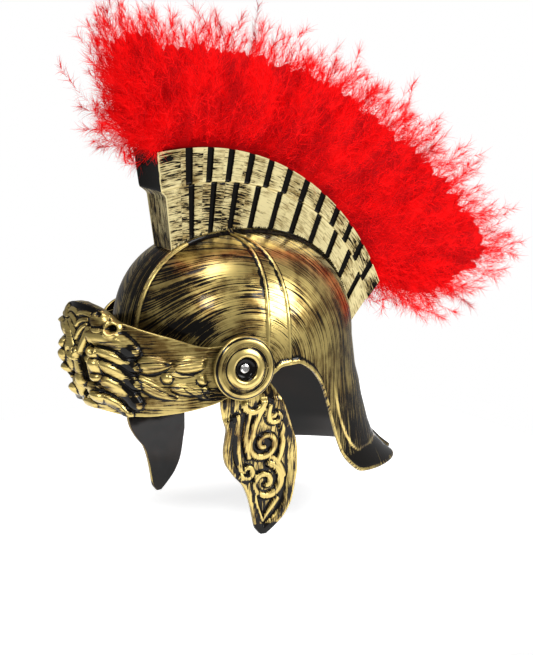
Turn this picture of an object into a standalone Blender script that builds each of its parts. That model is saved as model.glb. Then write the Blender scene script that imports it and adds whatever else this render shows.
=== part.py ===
"""Roman legionary helmet: bowl with neck guard, crest, plume, lion visor and two cheek guards.

The helmet faces -Y, +Z is up and +X is the wearer's left. Every piece is worked out in a
frame whose height starts at the rivet line, and is then moved so that the origin lies at
the inside of the crown, where a head carries the helmet.
"""
import functools
import math

import bmesh
import bpy
import numpy as np

# Bowl
BOWL_HALF_WIDTH = 0.098
BOWL_FRONT_LENGTH = 0.104
BOWL_REAR_LENGTH = 0.138
BOWL_HEIGHT = 0.106
BOWL_MID = -0.012
BOWL_POWER = 2.4
BOWL_POWER_SHIFT = 0.1
BOWL_WALL = 0.002
BOWL_ROWS = 10
BOWL_ROW_SPREAD = 1.25
BAND_HALF_WIDTH = 0.0145
BAND_RAISE = 0.003
BAND_EDGE = 0.0025
RIB_RAISE = 0.0013
RIB_END = 0.97
RIB_FADE = 0.1
ROLL_RAISE = 0.0014
ROLL_WIDTH = 0.006
ROLL_START_ANGLE = 80.0
ROLL_END_ANGLE = 150.0
ROLL_FADE_ANGLE = 6.0
NECK_DROP = 0.130
NECK_REAR_FLARE = 0.056
NECK_SIDE_FLARE = 0.008
NECK_START_ANGLE = 75.0
NECK_FADE_ANGLE = 45.0

# Crest holder
CREST_CENTRE_Y = -0.055
CREST_CENTRE_Z = -0.054
CREST_FRONT_TOP_RADIUS = 0.2460
CREST_REAR_TOP_RADIUS = 0.2370
CREST_RIDGE_SHARE = 0.60
CREST_MID_RADIUS = 0.214
CREST_FRONT_ANGLE = 97.6
CREST_REAR_FOOT_ANGLE = 16.5
CREST_REAR_TOP_ANGLE = 23.5
CREST_FOOT_HALF_WIDTH = 0.0145
CREST_TOP_HALF_WIDTH = 0.0205
CREST_STEP = 0.002
CREST_WALL = 0.002
CREST_FLARE = 0.006
CHANNEL_HALF_WIDTH = 0.012
CHANNEL_DEPTH = 0.010
GROOVE_WIDTH = 0.0045
GROOVE_DEPTH = 0.0018
LOWER_GROOVES = 10
UPPER_GROOVES = 12
FRONT_TILE = 0.105
UPPER_TILE_LEAD = 0.012

# Plume
PLUME_HALF_WIDTH = 0.030
PLUME_REACH = 0.170
PLUME_SWAY = 0.008
PLUME_LIFT = 0.001

# Rivet line, shared by the visor, the cheek guards, the rosettes and the rivets
PIVOT_Y = -0.054
PIVOT_TILT = 10.0
CHEEK_PLANE = 0.0944
SHEET_WALL = 0.0018
VISOR_GAP = 0.0026
ROSETTE_GAP = 0.0024
CLEARANCE = 0.0003
RIVET_RADIUS = 0.0020
RIVET_HEAD_RADIUS = 0.0045
RIVET_HEAD_HEIGHT = 0.0020
RIVET_TAIL_RADIUS = 0.0048
RIVET_TAIL_HEIGHT = 0.0012
RIVET_HEAD_TOP_SHARE = 0.6
RIVET_SIDES = 12
DRILL_REACH = 0.03
TAIL_SEARCH_ANGLE = 10.0
TAIL_SEARCH_HEIGHT = 0.08
TAIL_SEARCH_SHARE = 1.3
VISOR_HOLE_PLAY = 0.0005

# Visor
VISOR_MID = -0.020
VISOR_FRONT_LENGTH = 0.136
VISOR_HEIGHT = 0.100
VISOR_LEAN = 0.008
VISOR_COLUMNS = 20
VISOR_ROWS = 12
TAB_RADIUS = 0.022
TAB_COLUMNS = 4
TAB_LAST_ANGLE = 86.0
LEAN_FADE = 0.5
PLAIN_RADIUS = 0.034
PLAIN_FADE = 0.010
MASK_RELIEF = 0.016
LEAF_RELIEF = 0.0035

# Cheek guards
CHEEK_LENGTH = 0.165
CHEEK_WIDTH = 0.072
CHEEK_TAB_RADIUS = 0.018
CHEEK_LEAN = 0.012
CHEEK_LEAN_START = 0.028
CHEEK_LEAN_LENGTH = 0.070
CHEEK_COLUMNS = 10
CHEEK_ROWS = 25
RIM_RELIEF = 0.0022
RIM_WIDTH = 0.005
SCROLL_RELIEF = 0.0024
SCROLL_HALF_WIDTH = 0.0034
SCROLL_CLOSING = 0.78
SCROLL_POINTS = 40
SCROLL_FADE = 0.006

# Rosettes
ROSETTE_RADIUS = 0.030
ROSETTE_SIDES = 24
ROSETTE_DEPTH = 0.0084

SEAT_HEIGHT = BOWL_HEIGHT - BOWL_WALL

# Lower edge of the bowl from the brow (0) to the nape (180):
# angle in degrees, drop below the rivet line as a share of NECK_DROP
BOWL_RIM = (
    {"angle": 0, "drop": -0.09},
    {"angle": 38, "drop": -0.09},
    {"angle": 54, "drop": 0.19},
    {"angle": 76, "drop": 0.19},
    {"angle": 86, "drop": 0.09},
    {"angle": 93, "drop": 0.045},
    {"angle": 102, "drop": 0.045},
    {"angle": 111, "drop": 0.10},
    {"angle": 120, "drop": 0.23},
    {"angle": 125, "drop": 0.40},
    {"angle": 130, "drop": 0.66},
    {"angle": 134, "drop": 0.84},
    {"angle": 141, "drop": 0.96},
    {"angle": 160, "drop": 0.99},
    {"angle": 180, "drop": 1.00},
)

# Neck guard: drop as a share of NECK_DROP, flares as shares of the two flare sizes
NECK_SECTIONS = (
    {"drop": 0.00, "rear": 0.00, "side": 0.00},
    {"drop": 0.23, "rear": 0.08, "side": 0.00},
    {"drop": 0.48, "rear": 0.21, "side": 0.03},
    {"drop": 0.68, "rear": 0.36, "side": 0.15},
    {"drop": 0.79, "rear": 0.47, "side": 0.30},
    {"drop": 0.85, "rear": 0.60, "side": 0.50},
    {"drop": 0.93, "rear": 0.79, "side": 0.75},
    {"drop": 1.00, "rear": 1.00, "side": 1.00},
)

# Lines that the columns of the bowl follow, as angles at the lower edge and near the
# crown. "half_width" is a line that keeps its distance from the middle plane instead.
BOWL_GUIDES = (
    {"low": 0, "high": 0, "half_width": 0, "raise": 0, "steps": 1},
    {"low": 8, "high": 24, "half_width": -1, "raise": 0, "steps": 1},
    {"low": 9, "high": 27, "half_width": 1, "raise": 0, "steps": 4},
    {"low": 52, "high": 60, "half_width": 0, "raise": 0, "steps": 3},
    {"low": 82.6, "high": 94, "half_width": 0, "raise": 0, "steps": 1},
    {"low": 84, "high": 96, "half_width": 0, "raise": 1, "steps": 1},
    {"low": 85.4, "high": 98, "half_width": 0, "raise": 0, "steps": 1},
    {"low": 96.2, "high": 106, "half_width": 0, "raise": 0, "steps": 1},
    {"low": 97.6, "high": 108, "half_width": 0, "raise": 1, "steps": 1},
    {"low": 99, "high": 110, "half_width": 0, "raise": 0, "steps": 3},
    {"low": 120, "high": 124, "half_width": 0, "raise": 0, "steps": 4},
    {"low": 134, "high": 134, "half_width": 0, "raise": 0, "steps": 1},
    {"low": 141, "high": 141, "half_width": 0, "raise": 0, "steps": 3},
    {"low": 171, "high": 153, "half_width": 1, "raise": 0, "steps": 1},
    {"low": 172, "high": 156, "half_width": -1, "raise": 0, "steps": 1},
    {"low": 180, "high": 180, "half_width": 0, "raise": 0, "steps": 0},
)

# Locks of the plume from brow to nape: angles in degrees round the crest's centre, and how
# far each tip stands above the crest, as a share of PLUME_REACH
PLUME_LOCKS = (
    {"root": 97.2, "tip": 106.8, "reach": 0.18},
    {"root": 96.8, "tip": 107.2, "reach": 0.34},
    {"root": 96.2, "tip": 105.0, "reach": 0.55},
    {"root": 95.4, "tip": 104.5, "reach": 0.75},
    {"root": 92.6, "tip": 98.8, "reach": 0.78},
    {"root": 89.0, "tip": 93.0, "reach": 0.66},
    {"root": 83.5, "tip": 84.5, "reach": 0.63},
    {"root": 77.8, "tip": 76.6, "reach": 0.62},
    {"root": 72.2, "tip": 69.4, "reach": 0.61},
    {"root": 66.4, "tip": 62.2, "reach": 0.64},
    {"root": 60.6, "tip": 54.8, "reach": 0.65},
    {"root": 54.8, "tip": 47.4, "reach": 0.66},
    {"root": 49.4, "tip": 40.6, "reach": 0.71},
    {"root": 44.2, "tip": 34.2, "reach": 0.78},
    {"root": 39.4, "tip": 28.0, "reach": 0.85},
    {"root": 35.0, "tip": 21.8, "reach": 0.92},
    {"root": 30.8, "tip": 15.0, "reach": 1.00},
    {"root": 28.4, "tip": 12.5, "reach": 0.77},
    {"root": 26.6, "tip": 11.5, "reach": 0.45},
    {"root": 25.4, "tip": 15.0, "reach": 0.18},
)

# Columns between one lock and the next: place between them, reach and fullness as shares of
# the locks' own
LOCK_STEPS = (
    {"place": 0.3, "reach": 0.96, "full": 0.98},
    {"place": 0.5, "reach": 0.84, "full": 0.80},
    {"place": 0.7, "reach": 0.96, "full": 0.98},
)

# Half thickness of the plume: height as a share of a lock's reach, width as a share of
# PLUME_HALF_WIDTH
PLUME_SECTIONS = (
    {"height": 0.14, "width": 0.78},
    {"height": 0.50, "width": 1.00},
    {"height": 1.00, "width": 0.07},
)

# Edges of the visor from the front (0) to the rivet (1), as shares of VISOR_HEIGHT
VISOR_EDGES = (
    {"along": 0.00, "top": 0.56, "bottom": -0.43},
    {"along": 0.12, "top": 0.54, "bottom": -0.44},
    {"along": 0.21, "top": 0.50, "bottom": -0.45},
    {"along": 0.29, "top": 0.43, "bottom": -0.455},
    {"along": 0.40, "top": 0.385, "bottom": -0.45},
    {"along": 0.60, "top": 0.305, "bottom": -0.41},
    {"along": 0.83, "top": 0.205, "bottom": -0.33},
    {"along": 1.00, "top": 0.22, "bottom": -0.22},
)

# Raised forms of the lion mask on the wearer's left half, mirrored to the right. Each runs
# from one point to another: across and up in shares of VISOR_HEIGHT from the middle of the
# front at rivet height, half width in the same shares, height in shares of MASK_RELIEF.
MASK_FORMS = (
    {"name": "skull", "x0": 0.00, "z0": 0.22, "x1": 0.10, "z1": 0.14, "width": 0.34, "height": 0.84},
    {"name": "face", "x0": 0.00, "z0": -0.08, "x1": 0.06, "z1": -0.20, "width": 0.30, "height": 0.42},
    {"name": "brow", "x0": 0.05, "z0": 0.17, "x1": 0.20, "z1": 0.20, "width": 0.075, "height": 0.42},
    {"name": "bridge", "x0": 0.00, "z0": 0.18, "x1": 0.00, "z1": -0.06, "width": 0.075, "height": 0.36},
    {"name": "nose", "x0": 0.00, "z0": -0.08, "x1": 0.03, "z1": -0.11, "width": 0.09, "height": 0.52},
    {"name": "muzzle", "x0": 0.07, "z0": -0.17, "x1": 0.12, "z1": -0.20, "width": 0.10, "height": 0.38},
    {"name": "cheek", "x0": 0.24, "z0": 0.06, "x1": 0.25, "z1": -0.12, "width": 0.09, "height": 0.32},
    {"name": "chin", "x0": 0.00, "z0": -0.36, "x1": 0.07, "z1": -0.36, "width": 0.07, "height": 0.34},
    {"name": "eye", "x0": 0.11, "z0": 0.08, "x1": 0.16, "z1": 0.08, "width": 0.055, "height": -0.30},
    {"name": "mouth", "x0": 0.00, "z0": -0.27, "x1": 0.10, "z1": -0.29, "width": 0.04, "height": -0.34},
    {"name": "ear", "x0": 0.29, "z0": 0.31, "x1": 0.33, "z1": 0.35, "width": 0.07, "height": 0.34},
    {"name": "tuft", "x0": 0.06, "z0": 0.44, "x1": 0.14, "z1": 0.34, "width": 0.07, "height": 0.28},
    {"name": "mane_1", "x0": 0.30, "z0": 0.24, "x1": 0.50, "z1": 0.16, "width": 0.075, "height": 0.30},
    {"name": "mane_2", "x0": 0.33, "z0": 0.07, "x1": 0.51, "z1": -0.02, "width": 0.075, "height": 0.30},
    {"name": "mane_3", "x0": 0.32, "z0": -0.09, "x1": 0.51, "z1": -0.18, "width": 0.075, "height": 0.30},
    {"name": "mane_4", "x0": 0.28, "z0": -0.25, "x1": 0.50, "z1": -0.36, "width": 0.075, "height": 0.30},
)

# Laurel on the sides of the visor, in shares of VISOR_HEIGHT and of LEAF_RELIEF
LAUREL_FORMS = (
    {"name": "leaf_1", "x0": 0.60, "z0": 0.04, "x1": 0.78, "z1": 0.06, "width": 0.085, "height": 1.0},
    {"name": "leaf_2", "x0": 0.97, "z0": 0.04, "x1": 1.12, "z1": 0.06, "width": 0.085, "height": 1.0},
    {"name": "leaf_3", "x0": 0.60, "z0": -0.14, "x1": 0.86, "z1": -0.27, "width": 0.060, "height": 0.9},
    {"name": "leaf_4", "x0": 0.92, "z0": -0.15, "x1": 1.14, "z1": -0.19, "width": 0.060, "height": 0.9},
    {"name": "leaf_5", "x0": 0.74, "z0": 0.20, "x1": 0.94, "z1": 0.15, "width": 0.055, "height": 0.9},
    {"name": "berry_1", "x0": 0.81, "z0": -0.08, "x1": 0.82, "z1": -0.08, "width": 0.050, "height": 1.1},
    {"name": "berry_2", "x0": 1.15, "z0": -0.07, "x1": 1.16, "z1": -0.07, "width": 0.050, "height": 1.1},
)

# Outline of a cheek guard from its tab to its tip: drop below the rivet line as a share of
# CHEEK_LENGTH, front and rear edge as shares of CHEEK_WIDTH from the rivet
CHEEK_OUTLINE = (
    {"drop": 0.08, "front": -0.215, "rear": 0.355},
    {"drop": 0.20, "front": -0.255, "rear": 0.555},
    {"drop": 0.29, "front": -0.215, "rear": 0.655},
    {"drop": 0.38, "front": -0.145, "rear": 0.745},
    {"drop": 0.48, "front": -0.145, "rear": 0.845},
    {"drop": 0.56, "front": -0.115, "rear": 0.875},
    {"drop": 0.64, "front": -0.005, "rear": 0.875},
    {"drop": 0.72, "front": 0.145, "rear": 0.845},
    {"drop": 0.82, "front": 0.225, "rear": 0.795},
    {"drop": 0.90, "front": 0.265, "rear": 0.695},
    {"drop": 0.96, "front": 0.295, "rear": 0.555},
    {"drop": 1.00, "front": 0.365, "rear": 0.435},
)

# Scrolls on a cheek guard: centre as shares of CHEEK_WIDTH and CHEEK_LENGTH from the rivet,
# radius as a share of CHEEK_WIDTH, turns, and the angle in degrees where the outside starts
CHEEK_SCROLLS = (
    {"across": 0.135, "drop": 0.21, "radius": 0.17, "turns": 0.55, "start": 170, "hand": 1},
    {"across": 0.455, "drop": 0.30, "radius": 0.09, "turns": 1.0, "start": 60, "hand": -1},
    {"across": 0.385, "drop": 0.47, "radius": 0.23, "turns": 1.5, "start": 110, "hand": -1},
    {"across": 0.175, "drop": 0.60, "radius": 0.10, "turns": 0.8, "start": 150, "hand": 1},
    {"across": 0.425, "drop": 0.71, "radius": 0.21, "turns": 1.4, "start": 80, "hand": -1},
)

# Turned profile of a rosette from its back to the floor of its cup: radius as a share of
# ROSETTE_RADIUS, front as a share of ROSETTE_DEPTH
ROSETTE_PROFILE = (
    {"radius": 0.94, "front": 0.00},
    {"radius": 1.00, "front": 0.14},
    {"radius": 0.99, "front": 0.48},
    {"radius": 0.90, "front": 0.67},
    {"radius": 0.72, "front": 0.72},
    {"radius": 0.56, "front": 0.93},
    {"radius": 0.44, "front": 1.00},
    {"radius": 0.36, "front": 0.79},
    {"radius": 0.26, "front": 0.31},
)

FINISHES = {
    "skull_bowl": {"colour": (0.38, 0.27, 0.09, 1.0), "roughness": 0.34, "metallic": 0.7},
    "crest_holder": {"colour": (0.52, 0.40, 0.16, 1.0), "roughness": 0.38, "metallic": 0.7},
    "feather_plume": {"colour": (0.80, 0.01, 0.01, 1.0), "roughness": 0.80, "metallic": 0.0},
    "visor_band": {"colour": (0.50, 0.37, 0.13, 1.0), "roughness": 0.36, "metallic": 0.7},
    "cheek_guard": {"colour": (0.48, 0.35, 0.12, 1.0), "roughness": 0.36, "metallic": 0.7},
    "rosette": {"colour": (0.55, 0.42, 0.17, 1.0), "roughness": 0.30, "metallic": 0.7},
    "rivet": {"colour": (0.75, 0.74, 0.72, 1.0), "roughness": 0.25, "metallic": 1.0},
}


def clear_scene():
    """Remove every object that the file opened with."""
    for item in list(bpy.data.objects):
        bpy.data.objects.remove(item, do_unlink=True)


def smooth(value):
    """Ease a number or array from 0 to 1."""
    share = np.clip(value, 0.0, 1.0)
    return share * share * (3.0 - 2.0 * share)


def column(rows, key):
    """Return one named column of a table as an array."""
    return np.array([row[key] for row in rows], dtype=float)


def table(rows, key, value, at):
    """Read a value from a table by straight lines between its rows."""
    return float(np.interp(at, column(rows, key), column(rows, value)))


def paint(item, finish):
    """Give an object its own plain material."""
    values = FINISHES[finish]
    material = bpy.data.materials.new(item.name + "_finish")
    material.use_nodes = True
    shader = material.node_tree.nodes["Principled BSDF"]
    shader.inputs["Base Color"].default_value = values["colour"]
    shader.inputs["Roughness"].default_value = values["roughness"]
    shader.inputs["Metallic"].default_value = values["metallic"]
    item.data.materials.append(material)


def add_object(name, mesh, finish, parent=None):
    """Link a mesh as an object, moved so that the origin is the inside of the crown."""
    item = bpy.data.objects.new(name, mesh)
    bpy.context.collection.objects.link(item)
    shift = np.array((0.0, -BOWL_MID, -SEAT_HEIGHT))
    if parent is None:
        item.location = shift
    else:
        item.parent = parent
        pivot = np.array(parent.location) - shift
        for vertex in mesh.vertices:
            vertex.co = np.array(vertex.co) - pivot
    mesh.shade_smooth()
    mesh.set_sharp_from_angle(angle=math.radians(40))
    paint(item, finish)
    return item


def add_pivot(name, point):
    """Add an empty that marks a joint's axis."""
    pivot = bpy.data.objects.new(name, None)
    pivot.location = np.array(point) + np.array((0.0, -BOWL_MID, -SEAT_HEIGHT))
    bpy.context.collection.objects.link(pivot)
    return pivot


def finish_mesh(name, mesh_data):
    """Turn a bmesh into a mesh whose faces all point out."""
    bmesh.ops.recalc_face_normals(mesh_data, faces=mesh_data.faces)
    mesh = bpy.data.meshes.new(name)
    mesh_data.to_mesh(mesh)
    mesh_data.free()
    return mesh


def grid_vertices(mesh_data, grid):
    """Make the vertices of a grid of points."""
    return [[mesh_data.verts.new(point) for point in line] for line in grid]


def grid_faces(mesh_data, grid, around=False):
    """Fill a grid of vertices with four-sided faces."""
    count = len(grid)
    for i in range(count if around else count - 1):
        first, second = grid[i], grid[(i + 1) % count]
        for j in range(len(first) - 1):
            mesh_data.faces.new((first[j], second[j], second[j + 1], first[j + 1]))


def strip_faces(mesh_data, first, second):
    """Join two lines of vertices of equal length."""
    for j in range(len(first) - 1):
        mesh_data.faces.new((first[j], first[j + 1], second[j + 1], second[j]))


def cap_faces(mesh_data, outline, notch):
    """Close the end of a symmetric outline, round a notch in its top where it has one."""
    half = len(outline) // 2
    mirror = outline[::-1]
    body = half - (3 if notch else 0)
    for i in range(body - 1):
        mesh_data.faces.new((outline[i], outline[i + 1], mirror[i + 1], mirror[i]))
    if notch:
        last = half - 1
        mesh_data.faces.new((outline[body - 1], outline[last], mirror[last], mirror[body - 1]))
        for line in (outline, mirror):
            mesh_data.faces.new([line[i] for i in range(body - 1, half)])


def plate_mesh(name, outer, inner, capped=False):
    """Close the edges between two grids of points: a plate, or with capped ends a trough."""
    mesh_data = bmesh.new()
    outside = grid_vertices(mesh_data, outer)
    inside = grid_vertices(mesh_data, inner)
    grid_faces(mesh_data, outside)
    grid_faces(mesh_data, inside)
    strip_faces(mesh_data, [line[0] for line in outside], [line[0] for line in inside])
    strip_faces(mesh_data, [line[-1] for line in outside], [line[-1] for line in inside])
    for end in (0, -1):
        if capped:
            cap_faces(mesh_data, outside[end], True)
            cap_faces(mesh_data, inside[end], False)
            rim = (outside[end][0], outside[end][-1], inside[end][-1], inside[end][0])
            mesh_data.faces.new(rim)
        else:
            strip_faces(mesh_data, outside[end], inside[end])
    return finish_mesh(name, mesh_data)


def rod(name, start, direction, steps, sides):
    """Turn a stepped solid round an axis: steps are (distance, radius) pairs."""
    axis = np.array(direction) / np.linalg.norm(direction)
    side = np.cross(axis, (0.0, 0.0, 1.0))
    side /= np.linalg.norm(side)
    up = np.cross(side, axis)
    mesh_data = bmesh.new()
    rings = []
    for distance, radius in steps:
        centre = np.array(start) + axis * distance
        ring = []
        for k in range(sides):
            turn = 2.0 * math.pi * k / sides
            ring.append(mesh_data.verts.new(centre + radius * (math.cos(turn) * side + math.sin(turn) * up)))
        rings.append(ring)
    for first, second in zip(rings, rings[1:]):
        for k in range(sides):
            after = (k + 1) % sides
            mesh_data.faces.new((first[k], first[after], second[after], second[k]))
    mesh_data.faces.new(rings[0])
    mesh_data.faces.new(rings[-1])
    return finish_mesh(name, mesh_data)


def drill(item, side, radius):
    """Cut the rivet's hole through an object along the rivet's own axis."""
    axis = rivet_axis(side)
    start = rivet_point(side, 0.0) - axis * DRILL_REACH
    steps = ((0.0, radius), (2.0 * DRILL_REACH, radius))
    cutter_mesh = rod(item.name + "_drill", start, axis, steps, RIVET_SIDES)
    cutter = bpy.data.objects.new(f"{item.name}_drill_{'left' if side > 0 else 'right'}", cutter_mesh)
    bpy.context.collection.objects.link(cutter)
    cutter.location = (0.0, -BOWL_MID, -SEAT_HEIGHT)
    cutter.hide_render = True
    cutter.display_type = "WIRE"
    cut = item.modifiers.new("rivet_hole", "BOOLEAN")
    cut.operation = "DIFFERENCE"
    cut.solver = "EXACT"
    cut.object = cutter


# Rivet line

def rivet_axis(side):
    """Return the outward axis of the left (1) or right (-1) rivet."""
    tilt = math.radians(PIVOT_TILT)
    return np.array((side * math.cos(tilt), -math.sin(tilt), 0.0))


def rivet_point(side, out):
    """Return the point on a rivet's axis at a distance outside the cheek guard's inner face."""
    return np.array((side * CHEEK_PLANE, PIVOT_Y, 0.0)) + rivet_axis(side) * out


# Bowl

def bowl_point(angle, height):
    """Return a point of the plain bowl: angle from the front in degrees, height from -1 at
    the neck guard's lip over 0 at the rivet line to 1 at the crown."""
    turn = math.radians(angle)
    power = BOWL_POWER + BOWL_POWER_SHIFT * math.cos(turn)
    drop = max(-height, 0.0)
    rear_share = float(smooth((angle - NECK_START_ANGLE) / NECK_FADE_ANGLE))
    width = BOWL_HALF_WIDTH
    length = BOWL_FRONT_LENGTH if math.cos(turn) > 0.0 else BOWL_REAR_LENGTH
    width += rear_share * NECK_SIDE_FLARE * table(NECK_SECTIONS, "drop", "side", drop)
    length += rear_share * NECK_REAR_FLARE * table(NECK_SECTIONS, "drop", "rear", drop)
    rise = math.radians(90.0 * max(height, 0.0))
    shrink = max(math.cos(rise), 0.0) ** (2.0 / power)
    z = -drop * NECK_DROP
    if height > 0.0:
        z = BOWL_HEIGHT * math.sin(rise) ** (2.0 / power)
    radius = shrink / math.hypot(math.sin(turn) / width, math.cos(turn) / length)
    return np.array((radius * math.sin(turn), BOWL_MID - radius * math.cos(turn), z))


def bowl_normal(angle, height):
    """Return the outward direction of the plain bowl, from small steps along it."""
    step = 0.02
    low = max(height - step, -1.0)
    high = min(height + step, 1.0 - step)
    along = bowl_point(angle + 1.0, height) - bowl_point(angle - 1.0, height)
    rise = bowl_point(angle, high) - bowl_point(angle, low)
    normal = np.cross(along, rise)
    return normal / np.linalg.norm(normal)


def rim_height(angle):
    """Return where the bowl's lower edge lies, in the measure of bowl_point."""
    drop = table(BOWL_RIM, "angle", "drop", angle)
    if drop >= 0.0:
        return -drop
    share = -drop * NECK_DROP / BOWL_HEIGHT
    return math.degrees(math.asin(share ** (BOWL_POWER / 2.0))) / 90.0


def guide_angle(guide, height):
    """Return the angle of a guide line at a height."""
    share = float(smooth(height))
    angle = guide["low"] + (guide["high"] - guide["low"]) * share
    if guide["half_width"] != 0:
        rear = guide["low"] > 90
        offset = BAND_HALF_WIDTH + guide["half_width"] * BAND_EDGE / 2.0
        middle = 180.0 if rear else 0.0
        point = bowl_point(middle, height)
        reach = max(abs(point[1] - BOWL_MID), offset)
        turn = math.degrees(math.asin(offset / reach))
        limit = 180.0 - guide["high"] if rear else guide["high"]
        turn = min(turn, limit)
        angle = 180.0 - turn if rear else turn
    return angle


def bowl_columns(height_of_row):
    """Return the angles of the half bowl's columns, each with its rib share."""
    columns = []
    for guide, after in zip(BOWL_GUIDES, BOWL_GUIDES[1:]):
        for step in range(guide["steps"]):
            share = step / guide["steps"]
            first = guide_angle(guide, height_of_row)
            second = guide_angle(after, height_of_row)
            columns.append((first + (second - first) * share, guide["raise"] if step == 0 else 0))
    columns.append((180.0, 0))
    return columns


def bowl_relief(point, rib, height, from_rim, angle):
    """Return how far the outside stands proud of the plain bowl."""
    inside_band = (BAND_HALF_WIDTH + BAND_EDGE / 2.0 - abs(point[0])) / BAND_EDGE
    relief = BAND_RAISE * float(smooth(inside_band))
    relief += rib * RIB_RAISE * float(smooth((RIB_END - height) / RIB_FADE))
    after_start = float(smooth((angle - ROLL_START_ANGLE) / ROLL_FADE_ANGLE))
    before_end = float(smooth((ROLL_END_ANGLE - angle) / ROLL_FADE_ANGLE))
    roll = float(smooth(1.5 - from_rim / ROLL_WIDTH))
    relief += after_start * before_end * ROLL_RAISE * roll
    return relief


def half_column(index, side):
    """Return the outer and inner points of one column, from the lower edge up."""
    outer, inner = [], []
    base_angle = bowl_columns(0.0)[index][0]
    rim = rim_height(base_angle)
    edge = bowl_point(base_angle, rim)
    for row in range(BOWL_ROWS):
        share = (row / BOWL_ROWS) ** BOWL_ROW_SPREAD
        height = rim + (1.0 - rim) * share
        angle, rib = bowl_columns(height)[index]
        plain = bowl_point(angle, height)
        normal = bowl_normal(angle, height)
        relief = bowl_relief(plain, rib, height, np.linalg.norm(plain - edge), angle)
        mirror = np.array((side, 1.0, 1.0))
        outer.append((plain + relief * normal) * mirror)
        inner.append((plain - BOWL_WALL * normal) * mirror)
    return outer, inner


def skull_bowl():
    """Build the bowl: a hollow dome with ear arches and a flared neck guard."""
    half = len(bowl_columns(0.0))
    order = [(i, 1.0) for i in range(half)] + [(i, -1.0) for i in range(half - 2, 0, -1)]
    columns = [half_column(index, side) for index, side in order]
    mesh_data = bmesh.new()
    outside = grid_vertices(mesh_data, [outer for outer, _ in columns])
    inside = grid_vertices(mesh_data, [inner for _, inner in columns])
    crown = mesh_data.verts.new((0.0, BOWL_MID, BOWL_HEIGHT + BAND_RAISE))
    ceiling = mesh_data.verts.new((0.0, BOWL_MID, BOWL_HEIGHT - BOWL_WALL))
    for grid, pole in ((outside, crown), (inside, ceiling)):
        grid_faces(mesh_data, grid, around=True)
        for i, line in enumerate(grid):
            mesh_data.faces.new((line[-1], grid[(i + 1) % len(grid)][-1], pole))
    for i, line in enumerate(outside):
        after = (i + 1) % len(outside)
        mesh_data.faces.new((line[0], outside[after][0], inside[after][0], inside[i][0]))
    bowl = add_object("skull_bowl", finish_mesh("skull_bowl", mesh_data), "skull_bowl")
    for side in (1, -1):
        drill(bowl, side, RIVET_RADIUS + CLEARANCE)
    return bowl


# Crest

def polar(angle, radius):
    """Return a point of the middle plane by its angle and radius round the crest's centre."""
    turn = math.radians(angle)
    return np.array((0.0, CREST_CENTRE_Y + radius * math.cos(turn), CREST_CENTRE_Z + radius * math.sin(turn)))


@functools.cache
def middle_profile():
    """Return the angles and radii, round the crest's centre, of the bowl's middle line."""
    front = half_column(0, 1.0)[0]
    rear = half_column(len(bowl_columns(0.0)) - 1, 1.0)[0]
    crown = np.array((0.0, BOWL_MID, BOWL_HEIGHT + BAND_RAISE))
    points = np.array(rear + [crown] + front[::-1])
    across = points[:, 1] - CREST_CENTRE_Y
    rise = points[:, 2] - CREST_CENTRE_Z
    return np.degrees(np.arctan2(rise, across)), np.hypot(across, rise)


@functools.cache
def foot_radius(angle):
    """Return the radius where the crest's foot clears the bowl."""
    angles, radii = middle_profile()
    return float(np.interp(angle, angles, radii)) + CLEARANCE


def crest_line(share):
    """Return the foot and the top of the crest at a share of its length."""
    foot_angle = CREST_FRONT_ANGLE + (CREST_REAR_FOOT_ANGLE - CREST_FRONT_ANGLE) * share
    top_angle = CREST_FRONT_ANGLE + (CREST_REAR_TOP_ANGLE - CREST_FRONT_ANGLE) * share
    top_radius = CREST_FRONT_TOP_RADIUS + (CREST_REAR_TOP_RADIUS - CREST_FRONT_TOP_RADIUS) * share
    return polar(foot_angle, foot_radius(foot_angle)), polar(top_angle, top_radius)


def crest_section(share, lower_groove, upper_groove):
    """Return the outer and inner outlines of the crest at a share of its length."""
    foot, top = crest_line(share)
    length = np.linalg.norm(top - foot)
    up = (top - foot) / length
    ridge = length * CREST_RIDGE_SHARE
    lower_cut = GROOVE_DEPTH * lower_groove
    upper_cut = GROOVE_DEPTH * upper_groove
    ridge_half = CREST_FOOT_HALF_WIDTH + CREST_STEP
    outer_half = (
        (0.0, CREST_FOOT_HALF_WIDTH - lower_cut),
        (ridge - CREST_STEP / 2.0, ridge_half - lower_cut),
        (ridge + CREST_STEP / 2.0, ridge_half + CREST_STEP - upper_cut),
        (length, CREST_TOP_HALF_WIDTH - upper_cut),
        (length, CHANNEL_HALF_WIDTH),
        (length - CHANNEL_DEPTH, CHANNEL_HALF_WIDTH),
    )
    ceiling = length - CHANNEL_DEPTH - CREST_WALL
    inner_half = (
        (0.0, CREST_FOOT_HALF_WIDTH - GROOVE_DEPTH - CREST_WALL),
        (ridge, ridge_half - GROOVE_DEPTH - CREST_WALL),
        (ceiling, ridge_half + CREST_STEP - GROOVE_DEPTH - CREST_WALL),
    )
    forward = CREST_FLARE * float(smooth(1.0 - share / FRONT_TILE))
    sections = []
    for half in (outer_half, inner_half):
        left = []
        for rise, width in half:
            lead = forward if half is outer_half and rise > ridge else 0.0
            left.append(foot + up * rise + np.array((width, -lead, 0.0)))
        right = [point * np.array((-1.0, 1.0, 1.0)) for point in reversed(left)]
        sections.append(left + right)
    return sections


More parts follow.
